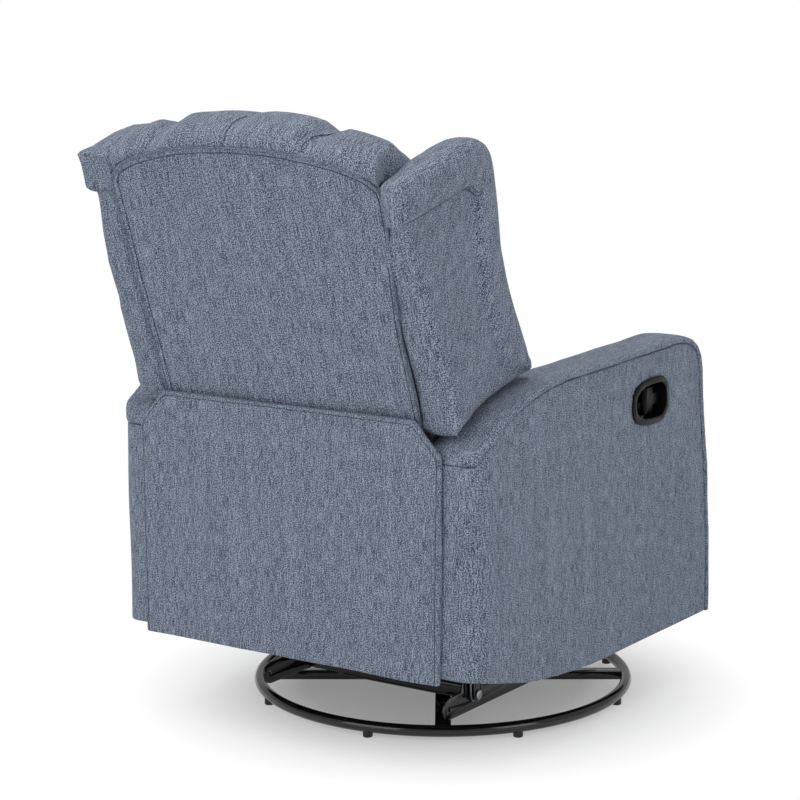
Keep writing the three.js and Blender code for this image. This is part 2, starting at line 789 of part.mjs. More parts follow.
function seat_plate_outline() {
  return [
    [seat_plate_front_y, seat_plate_top_z], [seat_plate_front_y, foot_pivot_z - hub_radius],
    [foot_pivot_y - 2 * hub_radius, seat_plate_bottom_z], [seat_plate_heel_y, seat_plate_bottom_z],
    [seat_plate_knee_y, seat_plate_bottom_z + 2 * hub_radius],
    ...arc_points(back_pivot_y, back_pivot_z, seat_hub_radius, seat_hub_start, seat_hub_sweep, 2 * bend_steps),
    [seat_plate_knee_y - hub_radius, seat_plate_top_z],
  ];
}

function seat_parts() {
  add_pair('seat_plate', across_x(seat_plate_outline(), seat_plate_x, plate_gauge, [
    pivot_hole(recline_seat_pivot(recline_rear_y)), pivot_hole(recline_seat_pivot(recline_front_y)),
    pivot_hole(foot_pivot), pivot_hole(back_pivot),
  ]), materials.steel);

  const inner_front = seat_frame_front_y + seat_frame_board;
  const inner_rear = seat_frame_rear_y - seat_frame_board;
  const side_x = seat_half_width - seat_frame_board;
  add_part('seat_frame', across_z(
    rectangle_points(-seat_half_width, seat_half_width, seat_frame_front_y, seat_frame_rear_y), seat_frame_z,
    seat_frame_height, [rectangle_points(-side_x, side_x, inner_front, inner_rear)]), materials.wood);
  add_part('seat_springs', spring_net(inner_front, inner_rear), materials.zinc);

  const outline = rounded_rectangle(-seat_half_width, seat_half_width, seat_front_y, seat_rear_y, seat_corner_radius);
  const centre_y = (seat_front_y + seat_rear_y) / 2;
  const rings = padded_levels(seat_bottom_z, seat_top_z, seat_edge_round / 2, seat_edge_round)
    .map(([z, inset]) => inset_points(outline, inset).map(([x, y]) => [x, y, z]));
  const rim = inset_points(outline, seat_edge_round);
  for (const share of seat_crown_shares) {
    const z = seat_top_z + seat_crown * (1 - share * share);
    rings.push(rim.map(([x, y]) => [x * share, centre_y + (y - centre_y) * share, z]));
  }
  add_part('seat_cushion', skinned(rings, outline), materials.fabric);
}

// Sinuous springs from the front board to the rear board, held together by two tie wires
function spring_net(inner_front, inner_rear) {
  const z = seat_frame_z + seat_frame_height + fit_gap + spring_wire_radius;
  const front = inner_front - seat_frame_board / 2;
  const reach = inner_rear - inner_front + seat_frame_board;
  const bends = 2 * spring_waves;
  const wires = [];
  for (let k = 0; k < spring_count; k += 1) {
    const centre = seat_half_width * (-1 + (2 * k + 1) / spring_count) * spring_spread_share;
    const path = [];
    for (let i = 0; i <= bends; i += 1) {
      const sway = i % 2 === 0 ? spring_half_width : -spring_half_width;
      path.push(new THREE.Vector3(centre + sway, front + (reach * i) / bends, z));
    }
    wires.push(corded(path, spring_wire_radius, wire_steps, 2 * bends));
  }
  const end_x = seat_half_width - seat_frame_board - spring_half_width;
  for (const share of tie_wire_shares) {
    const y = front + reach * share;
    wires.push(corded([new THREE.Vector3(-end_x, y, z), new THREE.Vector3(end_x, y, z)], spring_wire_radius,
      wire_steps, 1));
  }
  return joined(wires);
}

// Arms: a wooden core between two padded side panels, under one sewn band
function inset_path(points, distance) {
  return points.map((point, i) => {
    const before = points[Math.max(i - 1, 0)];
    const after = points[Math.min(i + 1, points.length - 1)];
    const along = new THREE.Vector2(after[0] - before[0], after[1] - before[1]).normalize();
    return [point[0] + along.y * distance, point[1] - along.x * distance];
  });
}

function arm_shares_in(shares) {
  return shares_in(shares, arm_front_y, arm_rear_y - arm_front_y, 0, arm_height);
}

function arm_plan(outer_x, rear_y, radius) {
  return arc_points(outer_x - radius, rear_y - radius, radius, 0, quarter_turn, 2 * bend_steps);
}

function arm_region(outer_x, rear_y, radius) {
  const front_y = arm_front_y - cut_overrun;
  return to_solid(across_z([[0, front_y], [outer_x, front_y], ...arm_plan(outer_x, rear_y, radius), [0, rear_y]], 0,
    cut_height));
}

function handle_outline(inset) {
  return rounded_rectangle(handle_y - handle_width / 2 + inset, handle_y + handle_width / 2 - inset,
    handle_z - handle_height / 2 + inset, handle_z + handle_height / 2 - inset, handle_corner - inset);
}

function arm_parts() {
  const top = arm_shares_in(arm_top_shares);
  const bottom = arm_shares_in(arm_bottom_shares);
  const seam = arm_band_thickness + fit_gap;
  const under_band = inset_path(top, seam);
  const band_end_z = top[top.length - 1][1] - fit_gap;
  const [end_y, end_z] = under_band[under_band.length - 1];
  const side_outline = [...under_band, [end_y, end_z - fit_gap], [arm_rear_y, band_end_z], ...bottom];

  const panel_inner_x = arm_outer_x - arm_panel_thickness;
  const panel_inner_y = arm_rear_y - arm_panel_thickness;
  const panel_inner_radius = arm_corner_radius - arm_panel_thickness;
  const panel_plan = [
    [arm_outer_x, arm_front_y], ...arm_plan(arm_outer_x, arm_rear_y, arm_corner_radius), [arm_wrap_x, arm_rear_y],
    [arm_wrap_x, panel_inner_y], ...arm_plan(panel_inner_x, panel_inner_y, panel_inner_radius).reverse(),
    [panel_inner_x, arm_front_y],
  ];
  const side = to_solid(across_x(side_outline, arm_inner_x, arm_outer_x - arm_inner_x))
    .intersect(to_solid(across_z(panel_plan, 0, cut_height)));
  const cup = to_solid(across_x(handle_outline(handle_rim - handle_wall - fit_gap),
    arm_outer_x - handle_depth - fit_gap, handle_depth + cut_overrun));
  add_part('arm_side_left', to_geometry(side), materials.fabric);
  add_part('arm_side_right', mirrored(to_geometry(side.subtract(cup))), materials.fabric);

  const core_rear_y = arm_rear_y - seam;
  const core_low_x = arm_inner_x + arm_inner_thickness + fit_gap;
  const core_high_x = panel_inner_x - fit_gap;
  const core_outline = [
    ...under_band.map(([y, z]) => [Math.min(y, core_rear_y), Math.max(z, arm_core_low_z)]),
    ...bottom.map(([y, z]) => [Math.min(y, core_rear_y), z + arm_core_lift]),
  ];
  const core = to_solid(across_x(core_outline, core_low_x, core_high_x - core_low_x))
    .intersect(arm_region(core_high_x, panel_inner_y - fit_gap, panel_inner_radius - fit_gap));
  add_part('arm_core_left', to_geometry(core), materials.wood);
  add_part('arm_core_right', mirrored(to_geometry(core.subtract(cup))), materials.wood);

  add_pair('arm_inner', across_x(side_outline, arm_inner_x, arm_inner_thickness,
    arm_bolt_places().map(([y, z]) => circle_points(y, z, stud_radius + fit_gap, pin_steps))), materials.fabric);

  const band_outer_x = arm_outer_x + arm_band_overhang;
  const section = [];
  for (let i = 0; i <= arm_section_steps; i += 1) {
    const share = i / arm_section_steps;
    const depth = arm_band_crown * Math.abs(2 * share - 1) ** arm_crown_power;
    section.push([arm_inner_x + (band_outer_x - arm_inner_x) * share, depth]);
  }
  section.push([band_outer_x, arm_band_thickness], [arm_inner_x, arm_band_thickness]);
  const lines = section.map(([, depth]) => inset_path(top, depth));
  const rings = top.map((point, k) => section.map(([x], j) => [x, ...lines[j][k]]));
  const band = to_solid(skinned(rings, section)).intersect(arm_region(band_outer_x, arm_rear_y, arm_corner_radius));
  add_pair('arm_band', to_geometry(band), materials.fabric);
}

function rear_panel_parts() {
  add_part('rear_panel', across_y([
    [panel_foot_half_width, panel_bottom_z], [panel_half_width, panel_shoulder_z],
    [panel_top_half_width, panel_top_z], [-panel_top_half_width, panel_top_z],
    [-panel_half_width, panel_shoulder_z], [-panel_foot_half_width, panel_bottom_z],
  ], panel_rear_y, panel_thickness), materials.fabric);
}

// Handle: a moulded cup in the right arm with a pull paddle hinged near its rear edge
function handle_parts() {
  const cup_low_x = arm_outer_x - handle_depth;
  const cup_outline = handle_outline(handle_rim - handle_wall);
  const lip = across_x(handle_outline(0), arm_outer_x + fit_gap, handle_lip - fit_gap);
  const cup = across_x(cup_outline, cup_low_x, handle_depth + handle_lip);
  const hollow = across_x(handle_outline(handle_rim), cup_low_x + handle_wall, handle_depth + cut_overrun);
  const half = paddle_height / 2;
  const cup_half = handle_height / 2 - handle_rim / 2;
  const boss_low = upright_pin(paddle_pin_x, paddle_pin_y, paddle_knuckle_radius, handle_z - cup_half,
    handle_z - half - fit_gap);
  const boss_high = upright_pin(paddle_pin_x, paddle_pin_y, paddle_knuckle_radius, handle_z + half + fit_gap,
    handle_z + cup_half);
  const bore_half = half + paddle_pin_reach + fit_gap;
  const pin_bore = upright_pin(paddle_pin_x, paddle_pin_y, paddle_pin_radius + fit_gap, handle_z - bore_half,
    handle_z + bore_half);
  const bosses = to_solid(boss_low).add(to_solid(boss_high)).intersect(to_solid(cup));
  const shell = to_solid(joined([lip, cup])).subtract(to_solid(hollow));
  add_part('handle_bezel', mirrored(to_geometry(shell.add(bosses).subtract(to_solid(pin_bore)))), materials.plastic);

  const pin_half = half + paddle_pin_reach;
  const pin = upright_pin(paddle_pin_x, paddle_pin_y, paddle_pin_radius, handle_z - pin_half, handle_z + pin_half);
  const knuckle = upright_pin(paddle_pin_x, paddle_pin_y, paddle_knuckle_radius, handle_z - half, handle_z + half);
  const shoulder_y = paddle_pin_y - paddle_width * paddle_shoulder_share;
  const neck = half * paddle_neck_share;
  const blade = across_x([
    [paddle_pin_y, handle_z - half], [paddle_pin_y, handle_z + half], [shoulder_y, handle_z + half],
    [shoulder_y, handle_z + neck], [paddle_pin_y - paddle_width, handle_z + neck],
    [paddle_pin_y - paddle_width, handle_z - neck], [shoulder_y, handle_z - neck], [shoulder_y, handle_z - half],
  ], paddle_pin_x - paddle_thickness / 2, paddle_thickness);
  add_part('handle_paddle', mirrored(joined([pin, knuckle, blade])), materials.plastic);
}

// Back: everything below is laid out along the lean of its rear face
function leaned(geometry) {
  return geometry.rotateX(-back_lean).translate(0, back_foot_y, back_foot_z);
}

function leaned_point(x, height, depth) {
  return [
    x,
    back_foot_y + height * Math.sin(back_lean) - depth * Math.cos(back_lean),
    back_foot_z + height * Math.cos(back_lean) + depth * Math.sin(back_lean),
  ];
}

// The height of a line at x, from shares of the back's half width and of a full height
function height_at(shares, full_height, x) {
  const reach = Math.min(Math.abs(x) / back_half_width, 1);
  const end = shares.findIndex(([share]) => share >= reach);
  if (end < 1) {
    return full_height * shares[0][1];
  }
  const [low, low_value] = shares[end - 1];
  const [high, high_value] = shares[end];
  return full_height * (low_value + ((high_value - low_value) * (reach - low)) / (high - low));
}

function tuft_places() {
  return shares_in(tuft_shares, 0, back_half_width, 0, back_crown_height);
}

function tuft_at(x, height) {
  return tuft_places().reduce((sum, [tuft_x, tuft_height]) => {
    const away = Math.hypot(x - tuft_x, height - tuft_height) / tuft_reach;
    return sum + tuft_depth * Math.exp(-away * away);
  }, 0);
}

function pleat_at(x) {
  const away = (Math.abs(x) - pleat_x) / pleat_width;
  const middle = x / pleat_width;
  return pleat_depth * Math.exp(-away * away) + middle_pleat_depth * Math.exp(-middle * middle);
}

function back_front_depth(x, height) {
  const edge = (Math.abs(x) / back_half_width) ** edge_power;
  const rise = (height - back_cushion_bottom) / (back_crown_height - back_cushion_bottom);
  const lumbar = lumbar_depth * Math.sin(Math.PI * Math.min(1, rise * lumbar_share)) ** 2;
  return back_cushion_depth + lumbar - back_edge_draw * edge - tuft_at(x, height);
}

function back_cushion_section(x) {
  const edge = height_at(outer_back_shares, outer_back_height, x) + fit_gap;
  const crown = height_at(back_crown_shares, back_crown_height, x) - pleat_at(x);
  const roll = crown - edge;
  const points = [
    [edge, -roll_overhang], [edge + roll * roll_shares[0][0], -2 * roll_overhang],
    ...roll_shares.slice(1).map(([rise, depth]) => [edge + roll * rise, back_cushion_depth * depth]),
    ...roll_front_shares.map(([drop, depth]) => [crown - roll_drop * drop, back_front_depth(x, crown) * depth]),
  ];
  const top = crown - roll_drop;
  const low = back_cushion_bottom + cushion_edge_round;
  for (let i = 0; i <= front_steps; i += 1) {
    const height = top + ((low - top) * i) / front_steps;
    points.push([height, back_front_depth(x, height)]);
  }
  const half_round = cushion_edge_round / 2;
  points.push([back_cushion_bottom, back_front_depth(x, back_cushion_bottom) - cushion_edge_round]);
  points.push([back_cushion_bottom, back_cushion_rear + half_round]);
  points.push([back_cushion_bottom + half_round, back_cushion_rear]);
  points.push([(back_cushion_bottom + edge) / 2, back_cushion_rear]);
  points.push([edge, back_cushion_rear]);
  return points;
}

// Places across the back, with one at every corner of the outer back's top edge
function back_stations(corners) {
  const right = [];
  for (let i = 0; i + 1 < corners.length; i += 1) {
    const reach = corners[i + 1] - corners[i];
    const steps = Math.ceil(reach / back_station_spacing);
    for (let k = 1; k <= steps; k += 1) {
      right.push(corners[i] + (reach * k) / steps);
    }
  }
  return [...right.map((x) => -x).reverse(), 0, ...right];
}

function back_bracket() {
  const depth = outer_back_thickness + back_board_thickness / 2 + fit_gap;
  const elbow = leaned_point(0, bracket_elbow_height, depth).slice(1);
  const head = leaned_point(0, bracket_height, depth).slice(1);
  return joined([
    across_x(link_points(back_pivot, elbow, bracket_radius), foot_link_lower_x, link_gauge),
    across_x(link_points(elbow, head, bracket_radius), foot_link_lower_x, link_gauge),
    formed_pin(back_pivot, foot_link_lower_x, 1, plate_gauge),
  ]);
}

function back_parts() {
  const half_dome = shares_in(outer_back_shares, 0, back_half_width, 0, outer_back_height);
  const dome = [...[...half_dome].reverse(), ...half_dome.slice(1).map(([x, height]) => [-x, height])];
  add_part('outer_back', leaned(across_y([[back_half_width, outer_back_bottom], ...dome,
    [-back_half_width, outer_back_bottom]], 0, outer_back_thickness)), materials.fabric);

  add_part('back_board', leaned(across_y(rectangle_points(-back_board_half_width, back_board_half_width,
    back_board_bottom, back_board_top), -(outer_back_thickness + fit_gap), back_board_thickness)), materials.wood);
  add_pair('back_bracket', back_bracket(), materials.steel);

  const stations = back_stations(half_dome.map(([x]) => x));
  const rings = stations.map((x) => back_cushion_section(x).map(([height, depth]) => leaned_point(x, height, depth)));
  const button = turned([[0, -button_sink], [button_radius, -button_sink],
    [button_radius * button_rim_share, button_height * button_rim_share], [0, button_height]],
  pin_steps).rotateX(quarter_turn);
  const buttons = tuft_places().map(([x, height]) =>
    leaned(button.clone().translate(x, -back_front_depth(x, height), height)));
  add_part('inner_back_cushion', joined([skinned(rings, back_cushion_section(0)), ...buttons]), materials.fabric);

  const welt = (drop) => leaned(corded(dome.map(([x, height]) =>
    new THREE.Vector3(x * welt_reach_share, welt_radius + fit_gap, height - drop)), welt_radius, welt_steps,
  round_steps));
  add_part('back_welt_upper', welt(2 * welt_radius), materials.welt);
  add_part('back_welt_lower', welt(2 * welt_radius + welt_spacing), materials.welt);
}

function wing_parts() {
  const placed = (shares) => shares_in(shares, wing_front_y, wing_rear_y - wing_front_y, wing_bottom_z,
    wing_top_z - wing_bottom_z);
  const front = placed(wing_front_shares);
  const flared = (x, z, low, high, flare) =>
    x + (flare * (x - low) * (wing_top_z - z)) / ((high - low) * (wing_top_z - wing_bottom_z));
  const padded = (outline, low, high, low_round, high_round, flare) => {
    const rings = padded_levels(low, high, low_round, high_round)
      .map(([x, inset]) => inset_points(outline, inset).map(([y, z]) => [flared(x, z, low, high, flare), y, z]));
    return skinned(rings, outline);
  };
  const body_outline = inset_points([...front, ...placed(wing_rear_shares)], wing_roll_proud);
  const body = padded(body_outline, wing_inner_x, wing_body_outer_x, wing_inner_round, wing_inner_round, wing_flare);
  const roll = padded([...front, ...placed(wing_seam_shares)], wing_inner_x + wing_inner_round / 2, wing_outer_x,
    wing_inner_round, wing_outer_round, wing_roll_flare);
  add_pair('wing', joined([body, roll]), materials.fabric);
}

// Footrest: two links a side, a bracket, a board and its pad
function foot_point(start, turn) {
  return [start[0] - foot_link_length * Math.cos(turn), start[1] + foot_link_length * Math.sin(turn)];
}

function footrest_parts() {
  const knee = foot_point(foot_pivot, foot_lower_start);
  const ankle = foot_point(knee, foot_upper_start);
  add_pair('foot_link_lower', joined([
    flat_link(foot_pivot, knee, foot_link_lower_x),
    formed_pin(foot_pivot, foot_link_lower_x, 1, plate_gauge),
    formed_pin(knee, foot_link_lower_x, -1, link_gauge),
  ]), materials.steel);
  add_pair('foot_link_upper', joined([
    flat_link(knee, ankle, foot_link_upper_x, [knee]),
    formed_pin(ankle, foot_link_upper_x, -1, plate_gauge),
  ]), materials.steel);

  const board_front_y = footrest_front_y + footrest_pad_thickness + fit_gap;
  const board_rear_y = board_front_y + footrest_board_thickness;
  const flange_y = board_rear_y + fit_gap;
  add_pair('footrest_bracket', across_x([
    [flange_y, ankle[1] + foot_bracket_half_height], [flange_y, ankle[1] - foot_bracket_half_height],
    ...link_points([flange_y, ankle[1]], ankle, hub_radius).slice(0, round_steps / 2 + 1),
  ], foot_bracket_x, plate_gauge, [pivot_hole(ankle)]), materials.steel);

  const board_inset = footrest_corner / 2;
  const board_half_width = footrest_half_width - board_inset;
  add_part('footrest_board', across_y(rounded_rectangle(-board_half_width, board_half_width,
    footrest_bottom_z + board_inset, footrest_top_z - board_inset, board_inset), board_rear_y,
  footrest_board_thickness), materials.wood);

  const outline = rounded_rectangle(-footrest_half_width, footrest_half_width, footrest_bottom_z, footrest_top_z,
    footrest_corner);
  const rings = padded_levels(footrest_front_y, footrest_front_y + footrest_pad_thickness, footrest_corner,
    footrest_corner / 2).map(([y, inset]) => inset_points(outline, inset).map(([x, z]) => [x, y, z]));
  add_part('footrest_pad', skinned(rings, outline), materials.fabric);
}

// Centres the chair on its outline, with its feet on z = 0
function centred(group) {
  const box = new THREE.Box3().setFromObject(group);
  const middle = box.getCenter(new THREE.Vector3());
  for (const mesh of group.children) {
    mesh.geometry.translate(-middle.x, -middle.y, -box.min.z);
  }
  return group;
}

base_parts();
swivel_parts();
glide_link_parts('rear', glide_rear_y);
glide_link_parts('front', glide_front_y);
chassis_parts();
recline_link_parts('rear', recline_rear_y);
recline_link_parts('front', recline_front_y);
seat_parts();
arm_parts();
rear_panel_parts();
handle_parts();
back_parts();
wing_parts();
footrest_parts();

export default centred(chair);
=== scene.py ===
import json
import math

import bpy
import numpy as np
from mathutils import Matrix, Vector, noise
from mathutils.bvhtree import BVHTree

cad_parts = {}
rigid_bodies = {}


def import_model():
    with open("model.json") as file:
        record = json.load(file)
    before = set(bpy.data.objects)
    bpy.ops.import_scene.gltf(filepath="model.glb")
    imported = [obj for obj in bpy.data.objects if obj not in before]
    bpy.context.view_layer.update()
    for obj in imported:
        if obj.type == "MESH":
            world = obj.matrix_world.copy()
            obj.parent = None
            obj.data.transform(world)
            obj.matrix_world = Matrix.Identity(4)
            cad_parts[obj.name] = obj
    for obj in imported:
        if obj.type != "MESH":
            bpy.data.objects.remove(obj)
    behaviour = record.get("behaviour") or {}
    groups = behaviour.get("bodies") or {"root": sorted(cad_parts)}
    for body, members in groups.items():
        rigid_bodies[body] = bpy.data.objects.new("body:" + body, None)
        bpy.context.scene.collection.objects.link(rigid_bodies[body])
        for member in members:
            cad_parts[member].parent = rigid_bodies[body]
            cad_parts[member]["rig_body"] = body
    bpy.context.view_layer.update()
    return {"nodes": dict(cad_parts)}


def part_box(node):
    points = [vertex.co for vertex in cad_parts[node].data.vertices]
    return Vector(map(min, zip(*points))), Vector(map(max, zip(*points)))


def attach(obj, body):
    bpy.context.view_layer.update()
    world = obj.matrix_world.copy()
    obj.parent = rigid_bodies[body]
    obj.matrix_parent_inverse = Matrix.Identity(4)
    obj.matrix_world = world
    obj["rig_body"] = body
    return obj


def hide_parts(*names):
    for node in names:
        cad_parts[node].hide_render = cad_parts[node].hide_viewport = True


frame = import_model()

nodes = frame["nodes"]
scene = bpy.context.scene
scene.view_settings.view_transform = "Standard"

# Camera
# A long lens at standing height, behind the chair and on the side of the pull handle.
# The picture is 800 by 800, and the chair stands a little right of its middle.
camera_data = bpy.data.cameras.new("camera")
camera_data.lens = 102.42
camera_data.sensor_width = 36
camera_data.shift_x = -0.05375
camera_data.shift_y = 0.0019
camera_data.clip_end = 100
camera = bpy.data.objects.new("camera", camera_data)
scene.collection.objects.link(camera)
camera.location = (-2.2014, 3.2060, 1.2254)
look_at = Vector((0, -0.1309, 0.521))
camera.rotation_euler = (look_at - camera.location).to_track_quat("-Z", "Y").to_euler()
scene.camera = camera


# Studio
# A matt white sweep under large soft lamps. The sweep glows white to the camera away from the chair;
# towards its base the glow fades, which paints grey shade there on top of the chair's rendered shadow.
def deselect():
    if bpy.context.object and bpy.context.object.mode != "OBJECT":
        bpy.ops.object.mode_set(mode="OBJECT")
    bpy.ops.object.select_all(action="DESELECT")


def pick(piece):
    deselect()
    piece.select_set(True)
    bpy.context.view_layer.objects.active = piece


def settle(piece):
    pick(piece)
    bpy.ops.object.transform_apply(location=True, rotation=True, scale=True)


def linear(hex_colour):
    parts = [int(hex_colour[i:i + 2], 16) / 255 for i in (1, 3, 5)]
    return tuple(p / 12.92 if p < 0.04045 else ((p + 0.055) / 1.055) ** 2.4 for p in parts) + (1,)


def add_node(tree, kind, settings=(), links=()):
    node = tree.nodes.new(kind)
    for name, value in dict(settings).items():
        if isinstance(name, str) and hasattr(node, name):
            setattr(node, name, value)
        else:
            node.inputs[name].default_value = value
    for name, source in dict(links).items():
        tree.links.new(source, node.inputs[name])
    return node


def new_material(name):
    material = bpy.data.materials.new(name)
    material.use_nodes = True
    return material, material.node_tree, material.node_tree.nodes["Principled BSDF"]


def finish_with(piece, material):
    piece.data.materials.clear()
    piece.data.materials.append(material)


deselect()
bpy.ops.mesh.primitive_plane_add(size=1, location=(0, 0, 0))
sweep = bpy.context.object
sweep.name = "floor_sweep"
sweep.scale = (60, 60, 1)
settle(sweep)
paper, tree, shader = new_material("matt white studio floor")
shader.inputs["Base Color"].default_value = linear("#F4F5F6")
shader.inputs["Roughness"].default_value = 0.9
shader.inputs["Specular IOR Level"].default_value = 0.1
place = add_node(tree, "ShaderNodeTexCoord")
base_low, base_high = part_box("base_ring")
axis_y = (base_low.y + base_high.y) / 2
from_ring = add_node(tree, "ShaderNodeVectorMath", {"operation": "SUBTRACT", 1: (0, axis_y, 0)},
                     {0: place.outputs["Object"]})
distance = add_node(tree, "ShaderNodeVectorMath", {"operation": "LENGTH"}, {0: from_ring.outputs[0]})
# Painted shade is deepest within 0.25 m of the swivel axis, where the glow is least, and the floor is white from 0.56
# m on.
white_share = add_node(tree, "ShaderNodeMapRange", {"From Min": 0.25, "From Max": 0.56, "To Min": 0.22, "To Max": 1.0},
                       {"Value": distance.outputs["Value"]})
rays = add_node(tree, "ShaderNodeLightPath")
seen = add_node(tree, "ShaderNodeMath", {"operation": "MAXIMUM"},
                {0: rays.outputs["Is Camera Ray"], 1: rays.outputs["Is Glossy Ray"]})
seen = add_node(tree, "ShaderNodeMath", {"operation": "MAXIMUM"},
                {0: seen.outputs[0], 1: rays.outputs["Is Transmission Ray"]})
share = add_node(tree, "ShaderNodeMath", {"operation": "MULTIPLY"},
                 {0: white_share.outputs["Result"], 1: seen.outputs[0]})
glow = add_node(tree, "ShaderNodeEmission", {"Color": (1, 1, 1, 1), "Strength": 1.0})
mixed = add_node(tree, "ShaderNodeMixShader", {},
                 {0: share.outputs[0], 1: shader.outputs[0], 2: glow.outputs[0]})
tree.links.new(mixed.outputs[0], tree.nodes["Material Output"].inputs["Surface"])
finish_with(sweep, paper)

world = bpy.data.worlds.new("studio air")
scene.world = world
world.use_nodes = True
air = world.node_tree.nodes["Background"]
air.inputs["Color"].default_value = (1, 1, 1, 1)
air.inputs["Strength"].default_value = 0.5
rays = add_node(world.node_tree, "ShaderNodeLightPath")
white = add_node(world.node_tree, "ShaderNodeBackground", {"Color": (1, 1, 1, 1), "Strength": 1.0})
mixed = add_node(world.node_tree, "ShaderNodeMixShader", {},
                 {0: rays.outputs["Is Camera Ray"], 1: air.outputs[0], 2: white.outputs[0]})
world.node_tree.links.new(mixed.outputs[0], world.node_tree.nodes["World Output"].inputs["Surface"])


def softbox(name, place, aim, width, height, watts):
    data = bpy.data.lights.new(name, "AREA")
    data.shape = "RECTANGLE"
    data.size, data.size_y, data.energy = width, height, watts
    lamp = bpy.data.objects.new(name, data)
    scene.collection.objects.link(lamp)
    lamp.location = place
    lamp.rotation_euler = (Vector(aim) - Vector(place)).to_track_quat("-Z", "Y").to_euler()


softbox("lamp_over", (0.2, 0.6, 3.2), (0, 0, 0.4), 3.0, 3.0, 30)
softbox("lamp_rear", (0.6, 3.6, 1.6), (0, 0, 0.4), 2.4, 2.0, 26)
softbox("lamp_right", (-3.4, 0.6, 1.8), (0, 0, 0.5), 1.6, 2.0, 17)

# Base ring
# A round steel tube, 20 mm thick, bent to a ring and butt-welded in front. Its gloss
# black powder coat shows long white reflections, with a faint orange peel.
tube = 0.010
glide_height = 0.008
ring_radius = (base_high.x - base_low.x) / 2 - tube

gloss_black, tree, shader = new_material("gloss black powder coat on steel")
place = add_node(tree, "ShaderNodeTexCoord")
# Orange peel is 1 to 2 mm wide on a sprayed powder coat, and only bends the reflections.
peel = add_node(tree, "ShaderNodeTexNoise", {"Scale": 620.0, "Detail": 1.0}, {"Vector": place.outputs["Object"]})
dust = add_node(tree, "ShaderNodeTexNoise", {"Scale": 45.0, "Detail": 4.0, "Roughness": 0.65},
                {"Vector": place.outputs["Object"]})
tint = add_node(tree, "ShaderNodeValToRGB", {}, {"Fac": dust.outputs["Fac"]})
tint.color_ramp.elements[0].position = 0.35
tint.color_ramp.elements[0].color = linear("#08090A")
tint.color_ramp.elements[1].position = 0.75
tint.color_ramp.elements[1].color = linear("#15171A")
gloss = add_node(tree, "ShaderNodeMapRange", {"From Min": 0.3, "From Max": 0.7, "To Min": 0.07, "To Max": 0.15},
                 {"Value": dust.outputs["Fac"]})
bump = add_node(tree, "ShaderNodeBump", {"Strength": 0.12, "Distance": 0.0002}, {"Height": peel.outputs["Fac"]})
tree.links.new(tint.outputs["Color"], shader.inputs["Base Color"])
tree.links.new(gloss.outputs["Result"], shader.inputs["Roughness"])
tree.links.new(bump.outputs[0], shader.inputs["Normal"])
shader.inputs["Specular IOR Level"].default_value = 0.6


def stand_for(piece, name, body, slot, *stood_for):
    """Names a piece, attaches it to its body and hides the CAD nodes that it stands for, if any. The slot is not used.
    """
    piece.name = piece.data.name = name
    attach(piece, body)
    if stood_for:
        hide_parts(*stood_for)
    return piece


def points_of(piece):
    points = np.empty(len(piece.data.vertices) * 3)
    piece.data.vertices.foreach_get("co", points)
    return points.reshape(-1, 3)


def set_points(piece, points):
    piece.data.vertices.foreach_set("co", np.asarray(points, float).ravel())
    piece.data.update()


def choose_points(piece, chosen):
    """Selects the chosen vertices and enters edit mode."""
    pick(piece)
    bpy.ops.object.mode_set(mode="EDIT")
    bpy.ops.mesh.select_mode(type="VERT")
    bpy.ops.mesh.select_all(action="DESELECT")
    bpy.ops.object.mode_set(mode="OBJECT")
    piece.data.vertices.foreach_set("select", np.asarray(chosen, bool))
    bpy.ops.object.mode_set(mode="EDIT")


deselect()
bpy.ops.mesh.primitive_torus_add(major_radius=ring_radius, minor_radius=tube, major_segments=192, minor_segments=24,
                                 location=(0, axis_y, glide_height + tube))
ring = bpy.context.object
settle(ring)
around = points_of(ring)
angle = np.arctan2(around[:, 1] - axis_y, around[:, 0])
weld_place = math.radians(-70)
weld_bead = 0.0007
choose_points(ring, np.abs(angle - weld_place) < 0.02)
bpy.ops.transform.shrink_fatten(value=weld_bead)
bpy.ops.object.mode_set(mode="OBJECT")
bpy.ops.object.shade_smooth()
finish_with(ring, gloss_black)
stand_for(ring, "base_ring_tube", "base", "black_steel", "base_ring")

# Floor glides
# Eight moulded nylon glides clipped under the ring. They are black, satin, a little
# wider than they are high, and have a chamfered foot.
satin_black, tree, shader = new_material("black nylon, satin moulded")
place = add_node(tree, "ShaderNodeTexCoord")
# Moulding texture of about 0.5 mm, drawn at 1 mm so that it shows.
grain = add_node(tree, "ShaderNodeTexNoise", {"Scale": 950.0, "Detail": 2.0}, {"Vector": place.outputs["Object"]})
shade = add_node(tree, "ShaderNodeValToRGB", {}, {"Fac": grain.outputs["Fac"]})
shade.color_ramp.elements[0].color = linear("#0C0D0E")
shade.color_ramp.elements[1].color = linear("#1C1E20")
bump = add_node(tree, "ShaderNodeBump", {"Strength": 0.2, "Distance": 0.0001}, {"Height": grain.outputs["Fac"]})
tree.links.new(shade.outputs["Color"], shader.inputs["Base Color"])
tree.links.new(bump.outputs[0], shader.inputs["Normal"])
shader.inputs["Roughness"].default_value = 0.42

